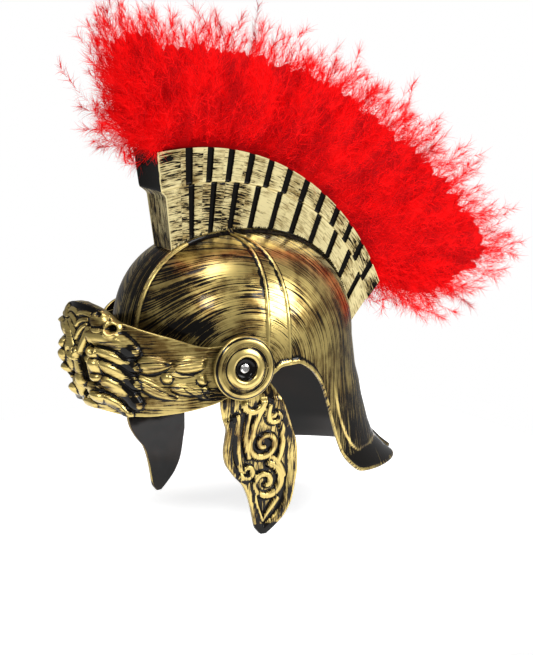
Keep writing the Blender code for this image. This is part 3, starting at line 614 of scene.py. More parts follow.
@dataclass(frozen=True)
class BrushedGold:
    """Gold paint dragged with a dry brush over gloss black plastic.

    The level of paint is a sum of fine bristle lines, broad strokes, patches and ragged edges,
    and of each piece's wear, which also carries that piece's painted highlights and painted shade.
    Gold covers the black where the level is over cover_from, and is bright over bright_from.
    """

    name: str
    light: tuple = (0.64, 0.495, 0.17, 1.0)
    deep: tuple = (0.16, 0.095, 0.025, 1.0)
    black: tuple = (0.0045, 0.0038, 0.0032, 1.0)
    cover: float = 0.0
    length: float = 45.0
    fine: float = 800.0
    sheen_rough: float = 0.25
    metal: float = 0.88
    seed: float = 0.0
    bristle_share: float = 1.2
    stroke_share: float = 0.55
    patch_share: float = 0.32
    edge_share: float = 0.14
    patch_scale: float = 38.0
    edge_scale: float = 900.0
    cover_from: tuple = (1.02, 1.08)
    bright_from: tuple = (1.42, 1.90)
    bare_rough: float = 0.13
    bristle_rough: float = 0.10
    bristle_depth: float = 0.00006
    specular: float = 0.08
    coat: tuple = (0.22, 0.07)

    def make(self) -> Paint:
        """Return the finish's material."""
        recipe = Recipe(self.name)
        brush = recipe.brush()
        wear_and_light = recipe.part(brush, "Z")
        shift = (self.seed, self.seed * 1.7, 0.0)
        lines = recipe.stretch(brush, (self.length, self.fine, 0.0), shift)
        bristle = recipe.noise(lines, 1.0, 3.0, 0.6)
        lines = recipe.stretch(brush, (self.length * 0.5, self.fine * 0.28, 0.0), shift)
        stroke = recipe.noise(lines, 1.0, 2.0)
        patch = recipe.noise(recipe.place(), self.patch_scale, 3.0, 0.6)
        edge = recipe.noise(recipe.place(), self.edge_scale, 2.0, 0.6)
        level = recipe.sum("MULTIPLY", bristle, self.bristle_share)
        level = recipe.sum("MULTIPLY_ADD", stroke, self.stroke_share, level)
        level = recipe.sum("MULTIPLY_ADD", patch, self.patch_share, level)
        level = recipe.sum("MULTIPLY_ADD", edge, self.edge_share, level)
        # each piece's wear, with its painted highlights and painted shade, moves the level and the gold's
        # tone
        level = recipe.sum("ADD", level, wear_and_light)
        cover = recipe.span(level, *(limit - self.cover for limit in self.cover_from))
        bright = recipe.sum("ADD", level, patch)
        tone_and_light = recipe.span(bright, *(limit - self.cover for limit in self.bright_from))
        gold = recipe.mix(tone_and_light, self.deep, self.light)
        colour = recipe.mix(cover, self.black, gold)
        rough = recipe.sum("MULTIPLY_ADD", cover, self.sheen_rough - self.bare_rough, self.bare_rough)
        rough = recipe.sum("MULTIPLY_ADD", bristle, self.bristle_rough, rough)
        recipe.relief(recipe.sum("ADD", bristle, cover), self.bristle_depth, 0.7)
        return recipe.surface(
            Base_Color=colour,
            Metallic=recipe.sum("MULTIPLY", cover, self.metal),
            Roughness=rough,
            Specular_IOR_Level=self.specular,
            Coat_Weight=self.coat[0],
            Coat_Roughness=self.coat[1],
        )


@dataclass(frozen=True)
class GlossBlack:
    """Bare moulded plastic: the inside of a piece, with the soft dimples of the mould."""

    name: str
    colour: tuple = (0.0045, 0.004, 0.0035, 1.0)
    warm: tuple = (0.014, 0.008, 0.005, 1.0)
    rough: float = 0.16
    dimple: float = 60.0
    depth: float = 0.0006
    grain_scale: float = 700.0
    specular: float = 0.3

    def make(self) -> Paint:
        """Return the finish's material."""
        recipe = Recipe(self.name)
        place = recipe.place()
        broad = recipe.noise(place, self.dimple, 1.0, 0.4)
        grain = recipe.noise(place, self.grain_scale, 2.0)
        colour = recipe.mix(recipe.span(broad, 0.4, 0.7), self.colour, self.warm)
        recipe.relief(recipe.sum("MULTIPLY_ADD", grain, 0.04, broad), self.depth, 0.6)
        rough = recipe.sum("MULTIPLY_ADD", grain, 0.10, self.rough)
        return recipe.surface(Base_Color=colour, Roughness=rough, Specular_IOR_Level=self.specular)


@dataclass(frozen=True)
class DyedFeather:
    """Soft dyed down, saturated red, with painted shade in crimson noise patches for its hollows and a faint
    painted red glow.
    """

    name: str
    bright: tuple = (0.88, 0.004, 0.005, 1.0)
    deep: tuple = (0.30, 0.0, 0.002, 1.0)
    # a faint red glow painted into the down as emission, though the down is no lamp
    glow: tuple = (1.0, 0.004, 0.006, 1.0)
    glow_strength: float = 0.12
    hollow_shade_scale: float = 34.0
    thread: tuple = (60.0, 2400.0, 0.0)
    rough: float = 0.62
    specular: float = 0.1

    def make(self) -> Paint:
        """Return the finish's material."""
        recipe = Recipe(self.name)
        brush = recipe.brush()
        # painted shade: noise patches turn the red crimson where hollows between tufts would lie in shade
        hollow = recipe.noise(recipe.place(), self.hollow_shade_scale)
        thread = recipe.noise(recipe.stretch(brush, self.thread), 1.0, 2.0)
        level = recipe.sum("MULTIPLY_ADD", thread, 0.30, hollow)
        level = recipe.sum("ADD", level, recipe.part(brush, "Z"))
        colour = recipe.mix(recipe.span(level, 0.42, 0.78), self.deep, self.bright)
        recipe.relief(thread, 0.0001, 0.3)
        rough = recipe.sum("MULTIPLY_ADD", thread, 0.2, self.rough)
        return recipe.surface(
            Base_Color=colour,
            Roughness=rough,
            Specular_IOR_Level=self.specular,
            Emission_Color=self.glow,
            Emission_Strength=self.glow_strength,
        )


@dataclass(frozen=True)
class PressedSteel:
    """Bright pressed metal of a snap rivet."""

    name: str
    colour: tuple = (0.78, 0.77, 0.75, 1.0)
    rub: tuple = (2200.0, 500.0, 500.0)
    depth: float = 0.00003

    def make(self) -> Paint:
        """Return the finish's material."""
        recipe = Recipe(self.name)
        rub = recipe.noise(recipe.stretch(recipe.place(), self.rub), 1.0)
        recipe.relief(rub, self.depth, 0.5)
        rough = recipe.span(rub, 0.3, 0.8, 0.16, 0.34)
        return recipe.surface(Base_Color=self.colour, Metallic=1.0, Roughness=rough)


@dataclass(frozen=True)
class PaleFloor:
    """Matte pale paper under the helmet."""

    name: str
    colour: tuple = (0.90, 0.90, 0.90, 1.0)
    fleck: tuple = (0.93, 0.93, 0.93, 1.0)
    glow: tuple = (1.0, 1.0, 1.0, 1.0)
    glow_strength: float = 0.70
    rough: float = 0.85
    grain_scale: float = 260.0

    def make(self) -> Paint:
        """Return the finish's material."""
        recipe = Recipe(self.name)
        grain = recipe.noise(recipe.place(), self.grain_scale)
        tint = recipe.mix(recipe.span(grain, 0.3, 0.7), self.colour, self.fleck)
        return recipe.surface(
            Base_Color=tint,
            Roughness=self.rough,
            Emission_Color=self.glow,
            Emission_Strength=self.glow_strength,
        )


# The rivet line that visor, cheek guards and rosettes share

@dataclass
class RivetLine:
    """Where the two rivets sit and how the sheets are stacked on them."""

    plane: float = 0.0944
    back: float = -0.042
    height: float = -0.104
    tilt: float = math.radians(10.0)
    wall: float = 0.0018
    visor_gap: float = 0.0026
    rosette_gap: float = 0.0024
    visor_mid: float = -0.008
    visor_length: float = 0.136

    def axis(self, side: Side) -> Array:
        """Return the outward axis of one rivet."""
        return np.array((side.value * math.cos(self.tilt), -math.sin(self.tilt), 0.0))

    def point(self, side: Side, out: float) -> Array:
        """Return a point of a rivet's axis at a distance outside the cheek guard's inner face."""
        return np.array((side.value * self.plane, self.back, self.height)) + self.axis(side) * out

    @property
    def visor_plane(self) -> float:
        """Return how far the visor's inner face lies out."""
        return self.wall + self.visor_gap

    @property
    def rosette_plane(self) -> float:
        """Return how far a rosette's back lies out."""
        return self.visor_plane + self.wall + self.rosette_gap

    def ellipse(self, out: float) -> tuple[float, float]:
        """Return the plan's half width and the angle where it passes the rivet.

        Args:
            out: Distance outside the cheek guard's inner face.

        Returns:
            Half width in metres and angle in radians.
        """
        pivot = self.point(Side.LEFT, out)
        depth = self.visor_mid - pivot[1]
        half = pivot[0] / math.sqrt(1.0 - (depth / self.visor_length) ** 2)
        return half, math.acos(depth / self.visor_length)


RIVETS = RivetLine()


@dataclass
class SkullBowl:
    """The hollow dome with its ribs, median band, ear arches and flared neck guard."""

    half_width: float = 0.098
    front_length: float = 0.104
    rear_length: float = 0.138
    height: float = 0.106
    power: float = 2.4
    power_shift: float = 0.1
    wall: float = 0.002
    band_half: float = 0.0145
    band_raise: float = 0.003
    band_edge: float = 0.0018
    rib_raise: float = 0.0015
    rib_half: float = 0.0014
    roll_raise: float = 0.0015
    roll_width: float = 0.0042
    neck_drop: float = 0.130
    rear_flare: float = 0.056
    side_flare: float = 0.008
    panel_raise: float = 0.0012
    columns: int = 420
    rows: int = 118
    row_power: float = 1.2
    rim: tuple = (
        (0, -0.09), (38, -0.09), (54, 0.19), (76, 0.19), (86, 0.09), (93, 0.045), (102, 0.045),
        (111, 0.10), (120, 0.23), (125, 0.40), (130, 0.66), (134, 0.84), (141, 0.96), (160, 0.99),
        (180, 1.0),
    )
    neck: tuple = (
        (0.0, 0.0, 0.0), (0.23, 0.08, 0.0), (0.48, 0.21, 0.03), (0.68, 0.36, 0.15),
        (0.79, 0.47, 0.30), (0.85, 0.60, 0.50), (0.93, 0.79, 0.75), (1.0, 1.0, 1.0),
    )
    crease: tuple = (
        (0.0, 129.0), (0.051, 131.6), (0.0747, 134.3), (0.0888, 137.2), (0.0991, 140.0), (0.1078, 144.0),
    )
    step_drop: float = 0.1062
    ribs: tuple = ((83.2, 93.5), (97.2, 106.5))
    spread: tuple = (
        (0.0, 0.0), (0.045, 8.0), (0.075, 11.5), (0.22, 40.0), (0.40, 80.0), (0.52, 102.0),
        (0.60, 112.0), (0.74, 132.0), (0.84, 146.0), (0.93, 168.0), (0.96, 172.0), (1.0, 180.0),
    )

    def plain(self, angle: Array, height: Array) -> Array:
        """Return points of the plain dome in the rivet line's height.

        Args:
            angle: Degrees from the front, 0 to 180.
            height: -1 at the lip over 0 at the rivet line to 1 at the crown.

        Returns:
            Points of the wearer's left half.
        """
        turn = np.radians(angle)
        power = self.power + self.power_shift * np.cos(turn)
        drop = np.maximum(-height, 0.0)
        rear = ease((angle - 75.0) / 45.0)
        width = self.half_width + rear * self.side_flare * straight(self.neck, drop, 2)
        length = np.where(np.cos(turn) > 0.0, self.front_length, self.rear_length)
        length = length + rear * self.rear_flare * straight(self.neck, drop, 1)
        rise = np.radians(90.0 * np.clip(height, 0.0, 1.0))
        shrink = np.maximum(np.cos(rise), 0.0) ** (2.0 / power)
        top = self.height * np.sin(rise) ** (2.0 / power)
        z = np.where(height > 0.0, top, -drop * self.neck_drop)
        radius = shrink / np.hypot(np.sin(turn) / width, np.cos(turn) / length)
        return np.stack((radius * np.sin(turn), -SETBACK - radius * np.cos(turn), z), axis=-1)

    def normal(self, angle: Array, height: Array) -> Array:
        """Return the outward directions of the plain dome.

        Args:
            angle: Degrees from the front.
            height: Height share.

        Returns:
            Unit vectors.
        """
        step = 0.02
        low = np.maximum(height - step, -1.0)
        high = np.minimum(height + step, 1.0 - step)
        low = np.minimum(low, high - step)
        along = self.plain(angle + 1.0, height) - self.plain(angle - 1.0, height)
        along = np.where(height[:, None] > 0.985, np.stack((
            np.cos(np.radians(angle)), np.sin(np.radians(angle)), 0.0 * angle), axis=-1), along)
        climb = self.plain(angle, high) - self.plain(angle, low)
        out = np.cross(along, climb)
        length = np.linalg.norm(out, axis=1, keepdims=True)
        out = out / np.maximum(length, 1e-9)
        crown = ease((height - 0.95) / 0.05)[:, None]
        out = out * (1.0 - crown) + np.array((0.0, 0.0, 1.0)) * crown
        return out / np.linalg.norm(out, axis=1, keepdims=True)

    def rim_height(self, angle: Array) -> Array:
        """Return the lower edge's height share at each angle."""
        drop = flowing(self.rim, angle)
        raised = np.maximum(-drop, 0.0) * self.neck_drop / self.height
        share = np.degrees(np.arcsin(raised ** (self.power / 2.0))) / 90.0
        return np.where(drop >= 0.0, -drop, share)

    def grid(self, u: Array, v: Array) -> tuple[Array, Array, Array]:
        """Turn shares of the sheet into angles and heights.

        Args:
            u: 0 to 1 round the bowl from the nape over the brow and back.
            v: 0 at the rim, 1 at the crown.

        Returns:
            Side sign, angle and height.
        """
        sign = np.where(u < 0.5, -1.0, 1.0)
        angle = straight(self.spread, np.abs(u - 0.5) * 2.0)
        low = self.rim_height(angle)
        return sign, angle, low + (1.0 - low) * v ** self.row_power

    def band_form(self, point: Array) -> tuple[Array, Array]:
        """Return the median band's relief and wear: a painted highlight along its step, painted shade in a
        line at its foot, and darker along the crest's foot.

        Args:
            point: Plain points.

        Returns:
            Relief in metres and wear.
        """
        band = ease((self.band_half + self.band_edge / 2.0 - point[:, 0]) / self.band_edge)
        crested = ease((point[:, 1] + 0.058) / 0.006) * ease((0.115 - point[:, 1]) / 0.01)
        edge = peak(point[:, 0] - self.band_half - 0.0006, 0.0007)
        gutter_shade = peak(point[:, 0] - self.band_half - 0.0022, 0.0012)
        # painted highlight: a bright line on the band's step, except where the crest stands; there the
        # band's edge stays black
        wear_and_light = edge * (0.40 * (1.0 - crested) - 0.9 * crested)
        # a darker line at the band's foot is painted shade; along the crest it deepens into the bare black
        # of the band's side
        wear_and_light -= gutter_shade * (0.10 + 0.45 * crested)
        wear_and_light -= 0.05 * band * (1.0 - crested)
        return self.band_raise * band, wear_and_light

    def rib_form(self, angle: Array, height: Array, reach: Array) -> tuple[Array, Array]:
        """Return the ribs' relief and wear: a painted highlight along their tops, and dark strips before and
        behind.

        Args:
            angle: Degrees from the front.
            height: Height share.
            reach: Distance from the bowl's middle.

        Returns:
            Relief in metres and wear.
        """
        relief, wear_and_light = 0.0 * reach, 0.0 * reach
        fade = ease((0.975 - height) / 0.03) * ease((height + 0.05) / 0.06)
        for low, high in self.ribs:
            gap = np.radians(angle - low - (high - low) * ease(height)) * reach
            relief += self.rib_raise * fade * swell(gap / self.rib_half, 0.8)
            # painted highlight along each rib's top
            wear_and_light += fade * 0.40 * peak(gap, 0.0009)
            uneven = 0.0045 + 0.0016 * ripple(height * 30.0, height * 11.0, low)
            ahead = ease((gap + uneven) / 0.0015) * ease((-gap - 0.0013) / 0.0008)
            ahead *= ease((height - 0.30) / 0.15) * ease((0.93 - height) / 0.1)
            wear_and_light -= 0.75 * ahead * fade
            behind = ease((0.0034 - gap) / 0.001) * ease((gap - 0.0013) / 0.0006)
            wear_and_light -= 0.40 * behind * fade * ease((height - 0.25) / 0.2)
        return relief, wear_and_light

    def neck_form(self, angle: Array, point: Array, from_rim: Array, reach: Array) -> tuple[Array, Array]:
        """Return relief and wear of the rolled ear arch and of the neck guard's panel and lip,
        with painted highlights along the roll, the crease, the step and the lip's edge, and
        painted shade in a line at the roll's inner foot.

        Args:
            angle: Degrees from the front.
            point: Plain points.
            from_rim: Distance from the lower edge.
            reach: Distance from the bowl's middle.

        Returns:
            Relief in metres and wear.
        """
        arch = ease((angle - 78.0) / 6.0) * ease((152.0 - angle) / 6.0)
        relief = arch * self.roll_raise * ease(1.5 - from_rim / self.roll_width)
        # painted highlight on the roll and painted shade at its inner foot
        wear_and_light = arch * 0.30 * peak(from_rim - 0.0015, 0.0014)
        wear_and_light -= arch * 0.40 * peak(from_rim - 0.0056, 0.0014)
        drop = -point[:, 2]
        begin = ease((drop - 0.030) / 0.02)
        from_crease = np.radians(angle - straight(self.crease, drop)) * reach
        above_step = self.step_drop - drop
        relief += self.panel_raise * begin * ease(from_crease / 0.0016) * ease(above_step / 0.0016)
        on_crease = peak(from_crease - 0.0004, 0.0011) * ease((above_step + 0.001) / 0.002)
        on_step = peak(above_step - 0.0004, 0.0011) * ease((from_crease + 0.001) / 0.002)
        # painted highlights along the panel's crease and step
        wear_and_light += 0.40 * begin * np.maximum(on_crease, 0.6 * on_step)
        lip = ease((drop - self.step_drop) / 0.003) * ease((angle - 120.0) / 10.0)
        wear_and_light -= 0.16 * lip
        # painted highlight along the lip's edge
        wear_and_light += 0.30 * lip * peak(from_rim - 0.0016, 0.0016)
        wear_and_light -= 0.04 * begin * ease(-from_crease / 0.002) * ease((from_rim - 0.005) / 0.004)
        wear_and_light -= 0.12 * ease((drop - 0.03) / 0.05) + 0.08 * ease((angle - 128.0) / 16.0)
        return relief, wear_and_light

    def relief(self, angle: Array, height: Array, point: Array, from_rim: Array) -> tuple[Array, Array]:
        """Return the raised forms and the paint's wear, with the painted highlights and shade of the band,
        ribs and neck.

        Args:
            angle: Degrees from the front.
            height: Height share.
            point: Plain points.
            from_rim: Distance from the lower edge.

        Returns:
            Relief in metres and wear, more than 0 for more gold.
        """
        reach = np.hypot(point[:, 0], point[:, 1] + SETBACK)
        forms = (
            self.band_form(point),
            self.rib_form(angle, height, reach),
            self.neck_form(angle, point, from_rim, reach),
        )
        wear_and_light = 0.06 * ripple(point[:, 1] * 60.0, point[:, 2] * 60.0, 2.0)
        wear_and_light -= 0.10 * ease((60.0 - angle) / 40.0)
        temple = np.hypot((point[:, 1] + 0.080) / 0.013, (point[:, 2] - 0.034) / 0.011)
        wear_and_light -= 0.25 * peak(temple, 1.0)
        return sum(relief for relief, _ in forms), wear_and_light + sum(worn_and_lit for _, worn_and_lit in forms)

    def brush(self, point: Array, wear_and_light: Array, sign: Array) -> Array:
        """Return brush lines that arch over the temple and run down the neck.

        Args:
            point: Points in the rivet line's height.
            wear_and_light: The paint's wear.
            sign: Which side each point is on.

        Returns:
            Along, across and wear of each point.
        """
        y = point[:, 1] + 0.040
        z = point[:, 2] + 0.012
        above = np.maximum(z, 0.0)
        across = np.hypot(y, above)
        along = np.arctan2(above, y) * 0.085 - np.minimum(z, 0.0) * np.sign(y)
        on_band = np.abs(point[:, 0]) < self.band_half
        across = np.where(on_band, point[:, 0] + 0.5, across)
        along = np.where(on_band, np.arctan2(point[:, 2], point[:, 1] + SETBACK) * 0.11, along)
        return np.stack((along + sign * 3.0, across, wear_and_light), axis=-1)

    def outer(self, u: Array, v: Array) -> tuple[Array, Array]:
        """Return the outer surface."""
        sign, angle, height = self.grid(u, v)
        plain = self.plain(angle, height)
        foot = self.plain(angle, self.rim_height(angle))
        from_rim = np.linalg.norm(plain - foot, axis=1)
        relief, wear_and_light = self.relief(angle, height, plain, from_rim)
        point = plain + relief[:, None] * self.normal(angle, height)
        return self.stand(point, sign), self.brush(point, wear_and_light, sign)

    def inner(self, u: Array, v: Array) -> tuple[Array, Array]:
        """Return the inner surface."""
        sign, angle, height = self.grid(u, v)
        point = self.plain(angle, height) - self.wall * self.normal(angle, height)
        return self.stand(point, sign), self.brush(point, 0.0 * u, sign)

    def stand(self, point: Array, sign: Array) -> Array:
        """Return points of the left half moved to their side and to the row's frame."""
        return np.stack((point[:, 0] * sign, point[:, 1] + SETBACK, point[:, 2] - RISE), axis=-1)

    def build(self) -> None:
        """Build and dress the bowl."""
        piece = walled_sheet("bowl_shell", self.columns, self.rows, self.outer, self.inner, wraps=True)
        gold = BrushedGold("bowl_gold", cover=0.03, length=20.0, fine=900.0)
        inside = GlossBlack("bowl_inside", dimple=20.0, depth=0.0003, rough=0.38)
        dress(piece, gold.make(), inside.make())
        settle(piece, Body.SHELL, "skull_bowl", "skull_bowl")


@dataclass
class CrestHolder:
    """The two-tier crest with its grooves, which holds the plume."""

    centre_y: float = -0.043
    centre_z: float = -0.158
    front_top_radius: float = 0.2460
    rear_top_radius: float = 0.2370
    ridge_share: float = 0.60
    mid_radius: float = 0.214
    front_angle: float = 97.6
    rear_foot_angle: float = 16.5
    rear_top_angle: float = 23.5
    foot_half: float = 0.0145
    top_half: float = 0.0205
    step: float = 0.002
    flare: float = 0.006
    channel_half: float = 0.012
    channel_depth: float = 0.009
    groove_half: float = 0.0029
    groove_depth: float = 0.0018
    lower_grooves: int = 10
    upper_grooves: int = 12
    lower_tiles: float = 11.17
    upper_tiles: float = 13.2
    front_tile: float = 0.105
    upper_lead: float = 0.012
    clearance: float = 0.0003
    columns: int = 620
    rows: int = 100
    bowl: SkullBowl = field(default_factory=SkullBowl)

    def polar(self, angle: Array, radius: Array) -> Array:
        """Return points of the middle plane by angle in degrees and radius."""
        turn = np.radians(angle)
        zero = 0.0 * turn
        y = self.centre_y + radius * np.cos(turn)
        z = self.centre_z + radius * np.sin(turn)
        return np.stack((zero, y + zero, z + zero), axis=-1)

    def foot_radius(self, angle: Array) -> Array:
        """Return where the foot clears the bowl's band.

        Args:
            angle: Degrees round the crest's centre.

        Returns:
            The foot's distance from that centre.
        """
        climb = np.linspace(0.0, 0.999, 160)
        profile = []
        for side in (180.0, 0.0):
            around = np.full_like(climb, side)
            low = self.bowl.rim_height(around)
            height = low + (1.0 - low) * climb
            point = self.bowl.plain(around, height) + self.bowl.band_raise * self.bowl.normal(around, height)
            profile.append(point if side == 180.0 else point[::-1])
        line = np.concatenate(profile) + (0.0, SETBACK, -RISE)
        across = line[:, 1] - self.centre_y
        rise = line[:, 2] - self.centre_z
        around = np.degrees(np.arctan2(rise, across))
        order = np.argsort(around)
        return np.interp(angle, around[order], np.hypot(across, rise)[order]) + self.clearance

    def line(self, share: Array) -> tuple[Array, Array]:
        """Return the foot and the top at shares of the crest's length."""
        foot_angle = self.front_angle + (self.rear_foot_angle - self.front_angle) * share
        top_angle = self.front_angle + (self.rear_top_angle - self.front_angle) * share
        top_radius = self.front_top_radius + (self.rear_top_radius - self.front_top_radius) * share
        return self.polar(foot_angle, self.foot_radius(foot_angle)), self.polar(top_angle, top_radius)

    def groove(self, share: Array, tier: int) -> Array:
        """Return how deep the grooves of one tier are, from 0 to 1.

        Args:
            share: Shares of the crest's length.
            tier: 0 for the lower one, 1 for the upper one.

        Returns:
            1 on a groove's floor and 0 on a tile.
        """
        count = (self.lower_grooves, self.upper_grooves)[tier]
        first = self.front_tile - self.upper_lead * tier
        pitch = (1.0 - first) / count
        span = math.radians(self.front_angle - self.rear_top_angle) * self.mid_radius
        number = np.clip(np.round((share - first) / pitch), 0, count - 1)
        away = np.abs(share - first - number * pitch) * span
        return ease((self.groove_half + 0.0004 - away) / 0.0008)

    def side_surface(self, share: Array, v: Array) -> tuple[Array, Array]:
        """Return the skin from the left foot over the channel to the right foot.

        Args:
            share: Shares of the crest's length, from the brow.
            v: Shares of the way over it.

        Returns:
            Points, and brush lines and wear.
        """
        foot, top = self.line(share)
        length = np.linalg.norm(top - foot, axis=1)
        up = (top - foot) / length[:, None]
        half_v = 1.0 - np.abs(2.0 * v - 1.0)
        sign = np.where(v < 0.5, 1.0, -1.0)
        stops = (0.0, 0.46, 0.52, 0.82, 0.90, 0.96, 1.0)
        ridge = length * self.ridge_share
        floor = length - self.channel_depth
        rises = (0.0 * length, ridge - 0.0012, ridge + 0.0008, length, length, floor, floor)
        ridge_half = self.foot_half + self.step
        widths = (self.foot_half, ridge_half, ridge_half + self.step, self.top_half, self.channel_half,
                  self.channel_half, 0.0)
        rise, width = 0.0 * share, 0.0 * share
        for k in range(len(stops) - 1):
            inside = (half_v >= stops[k]) & (half_v <= stops[k + 1])
            t = np.clip((half_v - stops[k]) / (stops[k + 1] - stops[k]), 0.0, 1.0)
            rise = np.where(inside, rises[k] + (rises[k + 1] - rises[k]) * t, rise)
            width = np.where(inside, widths[k] + (widths[k + 1] - widths[k]) * t, width)
        lower = half_v < 0.49
        outside = half_v <= 0.82
        cut = np.where(lower, self.groove(share, 0), self.groove(share, 1)) * outside
        edge = 0.0 * share
        for level in (0.0 * length, ridge, length):
            edge = np.maximum(edge, peak(rise - level, 0.0009))
        width = width - self.groove_depth * cut
        flare = self.flare * ease(1.0 - share / self.front_tile) * ease((rise - ridge + 0.006) / 0.008)
        point = foot + up * rise[:, None]
        point[:, 0] = sign * width
        point[:, 1] -= flare * outside
        tile = np.round((share - self.front_tile) * np.where(lower, self.lower_tiles, self.upper_tiles))
        # painted highlight: bright lines along the foot, the ridge and the top edge; the black grooves are
        # bare plastic
        wear_and_light = 0.10 * np.sin(tile * 12.9 + lower * 4.0) - 0.95 * cut + 0.35 * edge * outside
        wear_and_light += 0.35 * ease((0.006 - share) / 0.004) * outside
        wear_and_light -= np.where(outside, 0.0, 1.0)
        # painted highlight: the lower tier's middle is painted lighter, where light falls on its broad face;
        # the upper tier a little darker
        wear_and_light += np.where(lower, 0.20 * ease((share - 0.30) / 0.1) * ease((0.85 - share) / 0.1), -0.06)
        radius = np.hypot(point[:, 1] - self.centre_y, point[:, 2] - self.centre_z)
        brush = np.stack((share * 0.28 + tile * 0.37 + sign, radius, wear_and_light), axis=-1)
        return point, brush

    def end_surface(self, share: float) -> Surface:
        """Return the plate that closes one end.

        Args:
            share: 0 for the front and 1 for the rear.

        Returns:
            Its surface, across and up.
        """

        def plate(u: Array, v: Array) -> tuple[Array, Array]:
            """Return points of the end plate."""
            half_v = v * 0.82
            left, _ = self.side_surface(share + 0.0 * u, half_v / 2.0)
            point = left.copy()
            point[:, 0] = left[:, 0] * (1.0 - 2.0 * u)
            top = ease((v - 0.6) / 0.05)
            hollow = 1.0 - (2.0 * u - 1.0) ** 2
            point[:, 1] += 0.0008 * hollow * (1.0 if share < 0.5 else -1.0)
            wear_and_light = -0.10 - 0.9 * top + 0.4 * peak(1.0 - np.abs(2.0 * u - 1.0), 0.05)
            brush = np.stack((v * 0.09 + 5.0, point[:, 0] * 1.3 + 7.0, wear_and_light), axis=-1)
            return point, brush

        return plate

    def foot_surface(self, u: Array, v: Array) -> tuple[Array, Array]:
        """Return the strip that closes the foot, on the bowl.

        Args:
            u: Shares of the crest's length.
            v: Shares of its width.

        Returns:
            Points, and brush lines and wear.
        """
        point, _ = self.side_surface(u, 0.0 * v)
        point[:, 0] *= 1.0 - 2.0 * v
        return point, np.stack((u * 0.28, v * 0.05 + 3.0, 0.0 * u - 1.0), axis=-1)

    def build(self) -> None:
        """Build and dress the crest."""
        shape = open_shape()
        lay_sheet(shape, self.columns, self.rows, self.side_surface)
        lay_sheet(shape, self.columns, 1, self.foot_surface)
        for end in (0.0, 1.0):
            lay_sheet(shape, 24, round(0.41 * self.rows), self.end_surface(end))
        fill_holes(shape, 2.0 * MERGE)
        piece = close_shape("crest_skin", shape)
        piece.data.set_sharp_from_angle(angle=math.radians(50))
        gold = BrushedGold(
            "crest_gold", light=(0.84, 0.73, 0.38, 1.0), deep=(0.28, 0.19, 0.06, 1.0),
            cover=0.05, length=70.0, metal=0.40, seed=3.0)
        dress(piece, gold.make())
        settle(piece, Body.SHELL, "crest_holder", "crest_holder")


